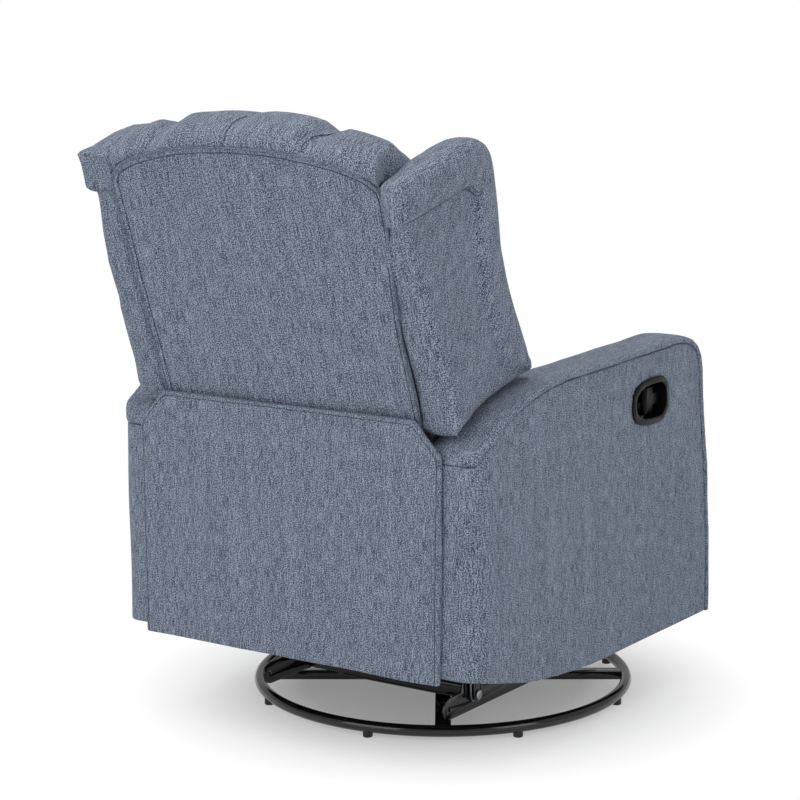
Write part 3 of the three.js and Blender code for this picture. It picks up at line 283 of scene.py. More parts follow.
cross_turn = math.radians(33.4)
glide_radius = 0.0085
glide_length = glide_height + 0.005
for i in range(8):
    turn = cross_turn + math.tau * (i + 0.5) / 8
    deselect()
    bpy.ops.mesh.primitive_cylinder_add(vertices=32, radius=glide_radius, depth=glide_length, location=(
        ring_radius * math.cos(turn), axis_y + ring_radius * math.sin(turn), glide_length / 2))
    glide = bpy.context.object
    settle(glide)
    low = points_of(glide)[:, 2] < 0.001
    choose_points(glide, low)
    bpy.ops.mesh.select_mode(type="EDGE")
    bpy.ops.mesh.bevel(offset=0.0018, segments=3, affect="EDGES")
    bpy.ops.object.mode_set(mode="OBJECT")
    bpy.ops.object.shade_smooth_by_angle(angle=math.radians(40))
    finish_with(glide, satin_black)
    stand_for(glide, f"floor_glide_{i + 1}", "base", "black_plastic", "base_ring")


# Base cross, bearing, rails, links, beams and plates
# Steel stampings, bars and a square tube, with their edges broken by tumbling. The frame
# is powder-coated with the ring, and the glide links, nuts and centre pin are zinc-plated.
def shaped_by(piece, kind, **settings):
    """Applies one modifier to a piece."""
    pick(piece)
    modifier = piece.modifiers.new(kind.lower(), kind)
    for name, value in settings.items():
        setattr(modifier, name, value)
    bpy.ops.object.modifier_apply(modifier=modifier.name)


def edge_broken(node, width, finish, slot):
    """The CAD node with its sharp edges broken, as a deburred part has them."""
    piece = bpy.data.objects.new(node + "_finished", nodes[node].data.copy())
    scene.collection.objects.link(piece)
    pick(piece)
    bpy.ops.object.mode_set(mode="EDIT")
    bpy.ops.mesh.select_all(action="SELECT")
    bpy.ops.mesh.remove_doubles(threshold=0.00002)
    bpy.ops.mesh.dissolve_limited(angle_limit=math.radians(1))
    bpy.ops.object.mode_set(mode="OBJECT")
    sharp = math.radians(42)
    shaped_by(piece, "BEVEL", width=width, segments=2, limit_method="ANGLE", angle_limit=sharp)
    bpy.ops.object.shade_smooth_by_angle(angle=sharp)
    finish_with(piece, finish)
    return stand_for(piece, node + "_finished", nodes[node]["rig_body"], slot, node)


zinc, tree, shader = new_material("bright zinc plate on steel")
place = add_node(tree, "ShaderNodeTexCoord")
# Plating blooms in cloudy patches of 5 to 15 mm over fine draw marks.
bloom = add_node(tree, "ShaderNodeTexNoise", {"Scale": 110.0, "Detail": 5.0, "Roughness": 0.6},
                 {"Vector": place.outputs["Object"]})
tint = add_node(tree, "ShaderNodeValToRGB", {}, {"Fac": bloom.outputs["Fac"]})
tint.color_ramp.elements[0].color = linear("#8D9197")
tint.color_ramp.elements[1].color = linear("#C4C8CC")
rough = add_node(tree, "ShaderNodeMapRange", {"From Min": 0.3, "From Max": 0.7, "To Min": 0.24, "To Max": 0.42},
                 {"Value": bloom.outputs["Fac"]})
tree.links.new(tint.outputs["Color"], shader.inputs["Base Color"])
tree.links.new(rough.outputs["Result"], shader.inputs["Roughness"])
shader.inputs["Metallic"].default_value = 1.0

tumbled = 0.0005
zinc_parts = ["kingpin", "swivel_nut_1", "swivel_nut_2", "swivel_nut_3", "swivel_nut_4", "glide_link_rear_left",
              "glide_link_rear_right", "glide_link_front_left", "glide_link_front_right"]
steel_parts = ["base_cross", "swivel_lower_plate", "swivel_upper_plate", "glide_cross_tube_rear",
               "glide_cross_tube_front", "chassis_beam_front", "chassis_beam_rear"]
paired_parts = ["glide_rail", "chassis_plate", "recline_link_rear", "recline_link_front", "seat_plate",
                "back_bracket", "foot_link_lower", "foot_link_upper", "footrest_bracket"]
steel_parts += [f"{part}_{side}" for part in paired_parts for side in ("left", "right")]
for node in zinc_parts:
    edge_broken(node, tumbled, zinc, "zinc_steel")
for node in steel_parts:
    edge_broken(node, 0.0012 if node == "base_cross" else tumbled, gloss_black, "black_steel")
edge_broken("bearing_race", tumbled, satin_black, "black_plastic")

# Seat springs
# Four sinuous springs of 4.4 mm wire, clipped to the frame's rear and front boards, with
# two straight tie wires across them. The wire is zinc-plated.
springs = edge_broken("seat_springs", 0.00001, zinc, "zinc_steel")
pick(springs)
bpy.ops.object.shade_smooth()

# Wooden rails and boards
# Birch plywood: the seat frame, the back board, the footrest board and the rail behind
# the rear panel. Sanded faces show long grain, and cut edges show the plies.
birch, tree, shader = new_material("birch plywood, sanded")
place = add_node(tree, "ShaderNodeTexCoord")
# Grain lines are 1 to 3 mm apart and run for 100 mm or more.
long_grain = add_node(tree, "ShaderNodeMapping", {"Scale": (9, 420, 420)}, {"Vector": place.outputs["Object"]})
grain = add_node(tree, "ShaderNodeTexNoise", {"Scale": 1.0, "Detail": 4.0, "Roughness": 0.6, "Distortion": 0.6},
                 {"Vector": long_grain.outputs[0]})
patch = add_node(tree, "ShaderNodeTexNoise", {"Scale": 7.0, "Detail": 2.0}, {"Vector": place.outputs["Object"]})
sum_of = add_node(tree, "ShaderNodeMath", {"operation": "MULTIPLY_ADD", 1: 0.35},
                  {0: patch.outputs["Fac"], 2: grain.outputs["Fac"]})
face = add_node(tree, "ShaderNodeValToRGB", {}, {"Fac": sum_of.outputs[0]})
face.color_ramp.elements[0].position = 0.45
face.color_ramp.elements[0].color = linear("#A9804F")
face.color_ramp.elements[1].position = 0.9
face.color_ramp.elements[1].color = linear("#D3B384")
bump = add_node(tree, "ShaderNodeBump", {"Strength": 0.15, "Distance": 0.0002}, {"Height": grain.outputs["Fac"]})
tree.links.new(face.outputs["Color"], shader.inputs["Base Color"])
tree.links.new(bump.outputs[0], shader.inputs["Normal"])
shader.inputs["Roughness"].default_value = 0.62
for node in ("seat_frame", "back_board", "footrest_board", "rear_rail"):
    edge_broken(node, 0.001, birch, "plywood")

# Upholstery cloth
# Heathered polyester in a plain weave, blue-grey: light and dark fibres are mixed in each
# yarn, so the cloth shows fine flecks and short streaks that run up the chair.
back_lean = math.radians(18.3)
thread = 0.0020


def heathered_weave(name, dark, middle, light, contrast=1.0):
    """The yarns are about 1 mm apart and are drawn 2 mm apart, so that they show in the picture."""
    material, tree, shader = new_material(name)
    laid = add_node(tree, "ShaderNodeUVMap", {"uv_map": "weave"})
    threads = add_node(tree, "ShaderNodeVectorMath", {"operation": "SCALE", "Scale": 1 / thread},
                       {0: laid.outputs["UV"]})
    along_warp = add_node(tree, "ShaderNodeMapping", {"Scale": (1.5, 0.09, 1)}, {"Vector": threads.outputs[0]})
    warp = add_node(tree, "ShaderNodeTexNoise", {"noise_dimensions": "2D", "Scale": 1.0, "Detail": 1.0},
                    {"Vector": along_warp.outputs[0]})
    along_weft = add_node(tree, "ShaderNodeMapping", {"Scale": (0.25, 1.1, 1), "Location": (31.0, 17.0, 0.0)},
                          {"Vector": threads.outputs[0]})
    weft = add_node(tree, "ShaderNodeTexNoise", {"noise_dimensions": "2D", "Scale": 1.0, "Detail": 1.0},
                    {"Vector": along_weft.outputs[0]})
    fleck = add_node(tree, "ShaderNodeTexNoise", {"noise_dimensions": "2D", "Scale": 1.15, "Detail": 1.0,
                     "Roughness": 0.6}, {"Vector": threads.outputs[0]})
    wide = add_node(tree, "ShaderNodeMapping", {"Scale": (0.11, 0.009, 1)}, {"Vector": threads.outputs[0]})
    band = add_node(tree, "ShaderNodeTexNoise", {"noise_dimensions": "2D", "Scale": 1.0, "Detail": 2.0},
                    {"Vector": wide.outputs[0]})
    # The flecks weigh most, the warp streaks next, and the two others only break up the evenness.
    tone = None
    for share, source in ((0.25, warp), (0.09, weft), (0.60, fleck), (0.06, band)):
        links = {0: source.outputs["Fac"]}
        if tone:
            links[2] = tone.outputs[0]
        tone = add_node(tree, "ShaderNodeMath", {"operation": "MULTIPLY_ADD", 1: share, 2: 0.0}, links)
    ramp = add_node(tree, "ShaderNodeValToRGB", {}, {"Fac": tone.outputs[0]})
    spread = 0.10 / contrast
    ramp.color_ramp.elements[0].position = 0.5 - spread
    ramp.color_ramp.elements[0].color = linear(dark)
    ramp.color_ramp.elements[1].position = 0.5 + spread
    ramp.color_ramp.elements[1].color = linear(light)
    ramp.color_ramp.elements.new(0.5).color = linear(middle)
    tree.links.new(ramp.outputs["Color"], shader.inputs["Base Color"])
    # Each crossing of two yarns stands up as a small pillow.
    turned = add_node(tree, "ShaderNodeVectorMath", {"operation": "SCALE", "Scale": math.pi}, {0: threads.outputs[0]})
    waves = add_node(tree, "ShaderNodeVectorMath", {"operation": "SINE"}, {0: turned.outputs[0]})
    humps = add_node(tree, "ShaderNodeVectorMath", {"operation": "ABSOLUTE"}, {0: waves.outputs[0]})
    parts = add_node(tree, "ShaderNodeSeparateXYZ", {}, {0: humps.outputs[0]})
    pillow = add_node(tree, "ShaderNodeMath", {"operation": "MULTIPLY"}, {0: parts.outputs[0], 1: parts.outputs[1]})
    height = add_node(tree, "ShaderNodeMath", {"operation": "ADD"}, {0: pillow.outputs[0], 1: fleck.outputs["Fac"]})
    bump = add_node(tree, "ShaderNodeBump", {"Strength": 0.35, "Distance": 0.0004}, {"Height": height.outputs[0]})
    tree.links.new(bump.outputs[0], shader.inputs["Normal"])
    shader.inputs["Roughness"].default_value = 0.9
    shader.inputs["Specular IOR Level"].default_value = 0.2
    shader.inputs["Sheen Weight"].default_value = 0.1
    shader.inputs["Sheen Roughness"].default_value = 0.5
    return material


cloth = heathered_weave("blue-grey heathered polyester, plain weave", "#303948", "#6A7588", "#AEB8C9")
piping_cloth = heathered_weave("blue-grey heathered piping, cut on the bias", "#343D4C", "#626D7F", "#9DA8B9", 0.8)
# The seam cords get a darker copy of the cloth: its colour paints the shade in the seams' grooves.
seam_shade = heathered_weave("blue-grey cloth darkened as painted seam shade", "#1C222B", "#353D49", "#566070", 0.8)


def lay_weave(piece, lean=0.0, rolled=None):
    """Lays the threads over a piece. The warp runs up the chair, or as far round a roll as rolled() says."""
    mesh = piece.data
    corners = np.empty(len(mesh.loops), int)
    mesh.loops.foreach_get("vertex_index", corners)
    points = points_of(piece)[corners]
    counts = np.empty(len(mesh.polygons), int)
    mesh.polygons.foreach_get("loop_total", counts)
    facing = np.empty(len(mesh.polygons) * 3)
    mesh.polygons.foreach_get("normal", facing)
    facing = np.repeat(facing.reshape(-1, 3), counts, axis=0)
    axes = np.array([[1, 0, 0], [0, math.cos(lean), -math.sin(lean)], [0, math.sin(lean), math.cos(lean)]])
    x, out, up = (points @ axis for axis in axes)
    main = np.argmax(np.abs(facing @ axes.T), axis=1)
    across = np.where(main == 0, out, x)
    along = np.where(main == 2, out, up)
    if rolled is not None:
        along = np.where(main == 0, along, rolled(points))
    # Two metres are added, which puts every piece on the positive side of the pattern.
    layer = mesh.uv_layers.new(name="weave")
    layer.data.foreach_set("uv", np.stack([across + 2, along + 2], axis=1).ravel())


def soft_copy(node, cell=0.004, smooth=3, shrink=0.0):
    """A copy of a CAD soft solid with even faces and eased edges."""
    mesh = nodes[node].data.copy()
    piece = bpy.data.objects.new(node + "_cover", mesh)
    scene.collection.objects.link(piece)
    pick(piece)
    bpy.ops.object.mode_set(mode="EDIT")
    bpy.ops.mesh.select_all(action="SELECT")
    bpy.ops.mesh.remove_doubles(threshold=0.00001)
    bpy.ops.object.mode_set(mode="OBJECT")
    shaped_by(piece, "REMESH", mode="VOXEL", voxel_size=cell)
    shaped_by(piece, "SMOOTH", factor=0.5, iterations=smooth)
    if shrink:
        set_points(piece, points_of(piece) - normals_of(piece) * shrink)
    bpy.ops.object.shade_smooth()
    return piece


def normals_of(piece):
    normals = np.empty(len(piece.data.vertices) * 3)
    piece.data.vertices.foreach_get("normal", normals)
    return normals.reshape(-1, 3)


def ripple(piece, height, reach, seed, keep=None):
    """Slow waves in a cover that is pulled over foam."""
    points = points_of(piece)
    waves = np.array([noise.noise(Vector(p) / reach + Vector((seed, 0, 0))) for p in points])
    if keep is not None:
        waves *= keep(points)
    set_points(piece, points + normals_of(piece) * (waves * height)[:, None])


def distance_to(points, path):
    """The distance from each point to a path of straight steps."""
    best = np.full(len(points), 1e9)
    for start, end in zip(path[:-1], path[1:]):
        step = end - start
        share = np.clip((points - start) @ step / max(step @ step, 1e-12), 0, 1)
        best = np.minimum(best, np.linalg.norm(points - start - share[:, None] * step, axis=1))
    return best


def press_in(piece, path, width, depth):
    """Pulls a cover in along a sewn line."""
    points = points_of(piece)
    away = distance_to(points, np.array(path)) / width
    set_points(piece, points - normals_of(piece) * (depth * np.exp(-away * away))[:, None])


def seam_cord(name, path, radius, finish, body, slot, on, sink):
    """A thread, fold or covered cord along a path, laid on a cover's own surface."""
    path = [Vector(p) for p in path]
    surface = BVHTree.FromObject(on, bpy.context.evaluated_depsgraph_get())
    fine = []
    for start, end in zip(path[:-1], path[1:]):
        steps = max(1, int((end - start).length / 0.006))
        fine += [start.lerp(end, k / steps) for k in range(steps)]
    fine.append(path[-1])
    path = []
    for point in fine:
        spot, facing, _, _ = surface.find_nearest(point)
        path.append(spot - facing * sink)
    for _ in range(2):
        inner = [(a + b * 2 + c) / 4 for a, b, c in zip(path, path[1:], path[2:])]
        path = [path[0]] + inner + [path[-1]]
    deselect()
    bpy.ops.curve.primitive_nurbs_path_add()
    piece = bpy.context.object
    piece.data.splines.clear()
    spline = piece.data.splines.new("POLY")
    spline.points.add(len(path) - 1)
    spline.points.foreach_set("co", np.array([(*p, 1) for p in path]).ravel())
    piece.data.bevel_depth = radius
    piece.data.bevel_resolution = 2
    piece.data.use_fill_caps = True
    bpy.ops.object.convert(target="MESH")
    piece = bpy.context.object
    bpy.ops.object.shade_smooth()
    lay_weave(piece)
    finish_with(piece, finish)
    return stand_for(piece, name, body, slot)


def upholster(piece, node, body, lean=0.0, rolled=None, slot="blue_grey_fabric", finish=None):
    lay_weave(piece, lean, rolled)
    finish_with(piece, finish or cloth)
    stand_for(piece, node + "_cover", body, slot, node)
    return piece


def chair_point(x, y, z):
    """A point in millimetres from the swivel axis and the floor, as the chair's drawings give it."""
    return Vector((x / 1000, y / 1000 + axis_y, z / 1000))


# Arms
# Each arm is a plywood frame filled out with foam. Two sewn side panels cover it, and a
# padded band runs up the front, over the top and down to the back, seamed to both.
arm_foam, tree, shader = new_material("black dust cloth over plywood and foam")
place = add_node(tree, "ShaderNodeTexCoord")
# Non-woven cloth: bonded fibres 3 to 8 mm long.
fibres = add_node(tree, "ShaderNodeTexNoise", {"Scale": 380.0, "Detail": 4.0, "Distortion": 1.5},
                  {"Vector": place.outputs["Object"]})
shade = add_node(tree, "ShaderNodeValToRGB", {}, {"Fac": fibres.outputs["Fac"]})
shade.color_ramp.elements[0].color = linear("#0E0F11")
shade.color_ramp.elements[1].color = linear("#303236")
bump = add_node(tree, "ShaderNodeBump", {"Strength": 0.3, "Distance": 0.0003}, {"Height": fibres.outputs["Fac"]})
tree.links.new(shade.outputs["Color"], shader.inputs["Base Color"])
tree.links.new(bump.outputs[0], shader.inputs["Normal"])
shader.inputs["Roughness"].default_value = 0.95

# The top of the arm from front to rear: the distance behind the swivel axis, and the height.
arm_line = [(-0.291, 0.596), (-0.254, 0.630), (-0.222, 0.636), (-0.170, 0.638), (-0.047, 0.635), (0.100, 0.630),
            (0.190, 0.627), (0.250, 0.620), (0.300, 0.611), (0.350, 0.595), (0.390, 0.576), (0.420, 0.556),
            (0.446, 0.541), (0.458, 0.520)]


def fade(distance, width):
    """Nothing before a line, all of it a width past the line, and a share in between."""
    return np.clip(distance / width, 0, 1)


def table_at(place, table):
    """What a table of places and values gives at a place, in straight steps between its rows."""
    return np.interp(place, [a for a, _ in table], [b for _, b in table])


def stuffed_edges(piece):
    """Thicker wadding than the drawings have: in front, on the front's top and along the top's outer edge."""
    front, front_top, outer_edge = 0.005, 0.007, 0.012
    spots = points_of(piece)
    y, z = spots[:, 1] - axis_y, spots[:, 2].copy()
    below = table_at(y, arm_line) - z
    outward = fade(np.abs(spots[:, 0]) - 0.315, 0.050) ** 2
    spots[:, 2] += outer_edge * outward * fade(0.068 - below, 0.038) * fade(y + 0.29, 0.10)
    spots[:, 1] -= front * fade(-0.24 - y, 0.08)
    spots[:, 2] += front_top * fade(-0.16 - y, 0.08) * fade(z - 0.45, 0.12)
    set_points(piece, spots)


# The handle's cup is longer to the rear than in the drawings: the place, and how far it moves back.
cup_low, cup_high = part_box("handle_bezel")
cup_height = (cup_low.z + cup_high.z) / 2
cup_front = cup_low.y - axis_y
cup_growth = 0.034
cup_shift = [(cup_front + 0.058, 0), (cup_front + 0.088, cup_growth), (cup_front + 0.103, cup_growth),
             (cup_front + 0.253, 0)]


def around_the_cup(piece):
    """Moves what lies behind the cup's front half to the rear, so that the arm makes room for the longer cup."""
    spots = points_of(piece)
    y, z = spots[:, 1] - axis_y, spots[:, 2]
    beside = fade(0.085 - np.abs(z - cup_height), 0.030)
    spots[:, 1] += beside * table_at(y, cup_shift)
    set_points(piece, spots)


for side, sign in (("left", 1), ("right", -1)):
    core = soft_copy(f"arm_core_{side}", 0.006, 1)
    if side == "right":
        around_the_cup(core)
    upholster(core, f"arm_core_{side}", "chassis", slot="arm_core", finish=arm_foam)
    inner = soft_copy(f"arm_inner_{side}", 0.004, 2)
    stuffed_edges(inner)
    upholster(inner, f"arm_inner_{side}", "chassis")
    panel = soft_copy(f"arm_side_{side}", 0.004, 2)
    stuffed_edges(panel)
    if side == "right":
        around_the_cup(panel)
    ripple(panel, 0.0022, 0.16, 3.0 + sign)
    upholster(panel, f"arm_side_{side}", "chassis")
    band = soft_copy(f"arm_band_{side}", 0.0035, 2)
    stuffed_edges(band)
    ripple(band, 0.0012, 0.09, 8.0 + sign)
    upholster(band, f"arm_band_{side}", "chassis")

# Rear panel
# A flap of the same cloth over thin board, hung behind the chassis. Its top corners are
# cut off to clear the arms, its edges are turned in, and its lower edge hangs free.
panel = soft_copy("rear_panel", 0.004, 2)
spots = points_of(panel)
hang = fade(0.30 - spots[:, 2], 0.14)
wave = np.array([noise.noise(Vector((x * 9, 4.0, z * 2))) for x, _, z in spots])
spots[:, 1] += 0.006 * hang * wave
set_points(panel, spots)
ripple(panel, 0.0016, 0.12, 12.0)
upholster(panel, "rear_panel", "chassis")
_, panel_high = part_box("rear_panel")
# The hem is a thin dark cord whose colour paints the shade along the turned-in edge.
hem = [Vector((x / 1000, panel_high.y, z / 1000)) for x, z in
       ((-293, 170), (-297, 527), (-250, 577), (0, 578), (250, 577), (297, 527), (293, 170))]
seam_cord("rear_panel_hem", hem, 0.0006, seam_shade, "chassis", "welt_fabric", on=panel, sink=0.0001)

# Handle
# A moulded cup of gloss black plastic is pressed into the right arm's side panel, and a
# paddle on a steel pin swings out of it. The cup's lip and the paddle's edges catch light.
gloss_plastic, tree, shader = new_material("black ABS, gloss moulded")
place = add_node(tree, "ShaderNodeTexCoord")
wear = add_node(tree, "ShaderNodeTexNoise", {"Scale": 160.0, "Detail": 5.0, "Roughness": 0.7},
                {"Vector": place.outputs["Object"]})
# Fine rubbing from fingers dulls the gloss in patches of a few millimetres.
gloss = add_node(tree, "ShaderNodeMapRange", {"From Min": 0.35, "From Max": 0.7, "To Min": 0.2, "To Max": 0.36},
                 {"Value": wear.outputs["Fac"]})
shade = add_node(tree, "ShaderNodeValToRGB", {}, {"Fac": wear.outputs["Fac"]})
shade.color_ramp.elements[0].color = linear("#050506")
shade.color_ramp.elements[1].color = linear("#0D0E10")
tree.links.new(gloss.outputs["Result"], shader.inputs["Roughness"])
tree.links.new(shade.outputs["Color"], shader.inputs["Base Color"])
shader.inputs["Specular IOR Level"].default_value = 0.1
around_the_cup(edge_broken("handle_bezel", 0.0011, gloss_plastic, "black_plastic"))
edge_broken("handle_paddle", 0.0010, gloss_plastic, "black_plastic")


# Seat cushion
# A foam block in a sewn cover, crowned on top, with its sides pulled in between the
# corners. A piped seam runs round its top edge.
def swell(piece, travel, sewn):
    """Blows a cover up over its filling, held where it is sewn down, with its travel capped."""
    rest = points_of(piece)
    cloth_rule = piece.modifiers.new("filling", "CLOTH")
    rule = cloth_rule.settings
    rule.quality = 5
    rule.tension_stiffness = 8
    rule.compression_stiffness = 8
    rule.bending_stiffness = 0.3
    rule.use_pressure = True
    rule.uniform_pressure_force = 4.0
    rule.effector_weights.gravity = 0
    cloth_rule.collision_settings.use_collision = False
    group = piece.vertex_groups.new(name="sewn")
    group.add([int(i) for i in np.flatnonzero(sewn)], 1.0, "REPLACE")
    rule.vertex_group_mass = "sewn"
    for step in range(1, 21):
        scene.frame_set(step)
    pick(piece)
    bpy.ops.object.modifier_apply(modifier=cloth_rule.name)
    scene.frame_set(1)
    moved = points_of(piece) - rest
    length = np.linalg.norm(moved, axis=1)
    share = np.minimum(1, travel / np.maximum(length, 1e-9))
    set_points(piece, rest + moved * share[:, None])


def subdivided(piece):
    shaped_by(piece, "SUBSURF", levels=1, render_levels=1)
    bpy.ops.object.shade_smooth()


seat = soft_copy("seat_cushion", 0.006, 3, shrink=0.005)
seat_low, seat_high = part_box("seat_cushion")
swell(seat, 0.009, points_of(seat)[:, 2] < seat_low.z + 0.012)
subdivided(seat)
upholster(seat, "seat_cushion", "seat")
seat_edge = []
half = Vector(((seat_high.x - seat_low.x) / 2, (seat_high.y - seat_low.y) / 2))
for k in range(96):
    # A tenth-power oval follows the cushion's four sides and rounds its corners.
    turn = math.tau * k / 96
    reach = Vector((math.cos(turn), math.sin(turn), 0))
    power = (abs(reach.x) ** 10 + abs(reach.y) ** 10) ** 0.1
    seat_edge.append(Vector(((seat_low.x + seat_high.x) / 2 + reach.x / power * half.x,
                             (seat_low.y + seat_high.y) / 2 + reach.y / power * half.y, seat_high.z - 0.026)))
seam_cord("seat_piping", seat_edge + seat_edge[:1], 0.0028, piping_cloth, "seat", "welt_fabric", on=seat,
          sink=-0.0002)

# Front rail cover
# A strip of the cloth over 5 mm of wadding, stapled round the seat frame's front edge, so
# that no wood shows between the cushion and the footrest.
frame_low, frame_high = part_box("seat_frame")
deselect()
bpy.ops.mesh.primitive_cube_add(size=1)
strip = bpy.context.object
strip.scale = (frame_high.x - frame_low.x - 0.004, 0.006, frame_high.z - frame_low.z + 0.002)
strip.location = (0, frame_low.y - 0.0025, (frame_high.z + frame_low.z) / 2 + 0.001)
settle(strip)
shaped_by(strip, "BEVEL", width=0.0025, segments=3)
shaped_by(strip, "REMESH", mode="VOXEL", voxel_size=0.003)
bpy.ops.object.shade_smooth()
ripple(strip, 0.0006, 0.05, 17.0)
lay_weave(strip)
finish_with(strip, cloth)
stand_for(strip, "seat_front_strip", "seat", "blue_grey_fabric")


# Outer back
# One panel of the cloth, tacked round the back frame. A folded border 13 mm wide runs
# round its top and sides, with a piping near its outer edge and a seam along its inner one.
def askew(points, spread=0.018):
    """The back sits a little to the left on its brackets, and its right shoulder is stuffed out to the wing."""
    to_the_left = 0.005
    points = np.array(points, float).reshape(-1, 3)
    shoulder = fade(-0.12 - points[:, 0], 0.12) * fade(points[:, 2] - 0.72, 0.16)
    points[:, 0] += to_the_left * fade(points[:, 2] - 0.62, 0.15) - spread * shoulder
    return points


def on_back(x, height, depth):
    """A point on the leaned back in millimetres: height runs up its rear face, depth runs into it."""
    point = chair_point(x, 456 + height * math.sin(back_lean) - depth * math.cos(back_lean),
                        590 + height * math.cos(back_lean) + depth * math.sin(back_lean))
    return Vector(askew([point])[0])


# The outer back is 510 mm wide and 439 mm high to the top of its dome; the table gives shares of both.
dome_shares = [(0.000, 1.000), (0.235, 0.995), (0.392, 0.987), (0.569, 0.971), (0.765, 0.943), (0.910, 0.908),
               (1.000, 0.855)]


def dome_height(x):
    return 439 * table_at(abs(x) / 255, dome_shares)


def border_line(inset, foot=-10):
    """Up the right side, over the dome and down the left, at a distance inside the panel's edge."""
    right, left = 255 - inset * 0.55, 255 - inset * 0.9
    rise = [float(h) for h in np.linspace(foot, dome_height(right) - inset, 12)]
    fall = [float(h) for h in np.linspace(dome_height(left) - inset, foot, 12)]
    dome = [(float(x), dome_height(x) - inset) for x in np.linspace(-right, left, 41)]
    line = [(-right, h) for h in rise[:-1]] + dome + [(left, h) for h in fall[1:]]
    return [on_back(x, h, 0) for x, h in line]


outer = soft_copy("outer_back", 0.0035, 2)
spots = askew(points_of(outer))
edge_away = distance_to(spots, np.array(border_line(1)))
raised = 0.0016 * fade(0.012 - edge_away, 0.003)
rear_facing = np.clip(normals_of(outer)[:, 1], 0, 1)
set_points(outer, spots + normals_of(outer) * (raised * rear_facing)[:, None])
ripple(outer, 0.0018, 0.14, 21.0)
press_in(outer, border_line(13), 0.004, 0.0016)
upholster(outer, "outer_back", "backrest", lean=-back_lean)
upper = seam_cord("back_border_piping", border_line(3), 0.0024, piping_cloth, "backrest", "welt_fabric", on=outer,
                  sink=-0.0008)
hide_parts("back_welt_upper")
# The inner seam is a thin dark cord whose colour paints the seam's shade.
lower = seam_cord("back_border_seam", border_line(13), 0.0009, seam_shade, "backrest", "welt_fabric", on=outer,
                  sink=0.0002)
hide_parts("back_welt_lower")

# Inner back cushion
# Fibre-filled and sewn in one: a rolled crown with three pleats above a front that
# buttons pull in. The cover is gathered at each button and at each pleat.
# The crown is 476 mm high in its middle; the first table gives shares as the dome's does, and the second
# gives the buttons' places in the same shares.
crown_shares = [(0.000, 1.000), (0.200, 0.998), (0.330, 0.990), (0.430, 0.983), (0.530, 0.974), (0.600, 0.967),
                (0.700, 0.959), (0.800, 0.945), (0.920, 0.925), (1.000, 0.910)]
tuft_shares = [(-0.518, 0.705), (0.518, 0.705), (0, 0.513), (-0.784, 0.513), (0.784, 0.513), (-0.518, 0.321),
               (0.518, 0.321), (0, 0.128), (-0.784, 0.128), (0.784, 0.128)]


def crown_height(x):
    return 476 * table_at(abs(x) / 255, crown_shares)


up = np.array([0, math.sin(back_lean), math.cos(back_lean)])
into = np.array([0, -math.cos(back_lean), math.sin(back_lean)])
back_foot = np.array(on_back(0, 0, 0))
# The crown has been pressed down in use, most by its right-hand pleat, and its right-hand end
# stands up a little. The table gives x and the drop there, both in millimetres.
crown_drops = [(-275, -6), (-262, 1), (-250, 6), (-229, 10), (-180, 12), (-160, 18), (-140, 18), (-113, 6), (84, 4),
               (127, 1), (150, 8), (168, 8), (190, 2)]


def over_the_roll(points):
    """Up the rear, over the crown and down the front, in one run of cloth."""
    rise, deep = (points - back_foot) @ up, (points - back_foot) @ into
    centre_rise, centre_deep, radius = 0.405, 0.075, 0.07
    turn = np.arctan2(rise - centre_rise, centre_deep - deep)
    over = radius * turn
    front = radius * math.pi + (centre_rise - rise)
    behind = rise - centre_rise
    return np.where(rise > centre_rise, over, np.where(deep > centre_deep, front, behind))


cushion = soft_copy("inner_back_cushion", 0.0045, 2, shrink=0.002)
spots = points_of(cushion)
spots = askew(spots, spread=0.018 - 0.012 * fade((spots - back_foot) @ into, 0.03))
crown_share = fade((spots - back_foot) @ up - 0.36, 0.06)
settled = table_at(spots[:, 0] * 1000, crown_drops) / 1000
spots -= up * (crown_share * settled)[:, None]
set_points(cushion, spots)
rise, deep = (spots - back_foot) @ up, (spots - back_foot) @ into
button_spots = [(a * 255, b * 476) for a, b in tuft_shares]
# The cover is held along the outer back, at its foot, at the buttons and in the pleats.
sewn = (deep < 0.036) & (rise < 0.40)
sewn |= rise < -0.13
for x, height in button_spots:
    sewn |= (np.hypot(spots[:, 0] - x / 1000, rise - height / 1000) < 0.014) & (deep > 0.09)
# Where each pleat starts on the crest, and where it ends on the outer back's dome.
pleats = [(7, 4), (-149, -138), (147, 165)]
pleat_paths = []
for top_x, foot_x in pleats:
    crest = crown_height(top_x)
    foot = dome_height(foot_x)
    pleat_paths.append([on_back(top_x - 6, crest - 4, 64), on_back(top_x, crest, 46),
                        on_back(top_x * 0.65 + foot_x * 0.35, crest - 5, 26),
                        on_back(top_x * 0.15 + foot_x * 0.85, crest * 0.75 + foot * 0.25, 6),
                        on_back(foot_x, foot + 8, -1)])
for path in pleat_paths:
    sewn |= distance_to(spots, np.array(path)) < 0.005
swell(cushion, 0.007, sewn)
subdivided(cushion)
for path in pleat_paths:
    press_in(cushion, path, 0.0042, 0.0035)
upholster(cushion, "inner_back_cushion", "backrest", rolled=over_the_roll)
# The first two pleats get thin dark cords whose colour paints the shade in their folds.
for number, path in enumerate(pleat_paths[:2], 1):
    seam_cord(f"crown_pleat_{number}", path, 0.0009, seam_shade, "backrest", "welt_fabric", on=cushion, sink=0.0001)

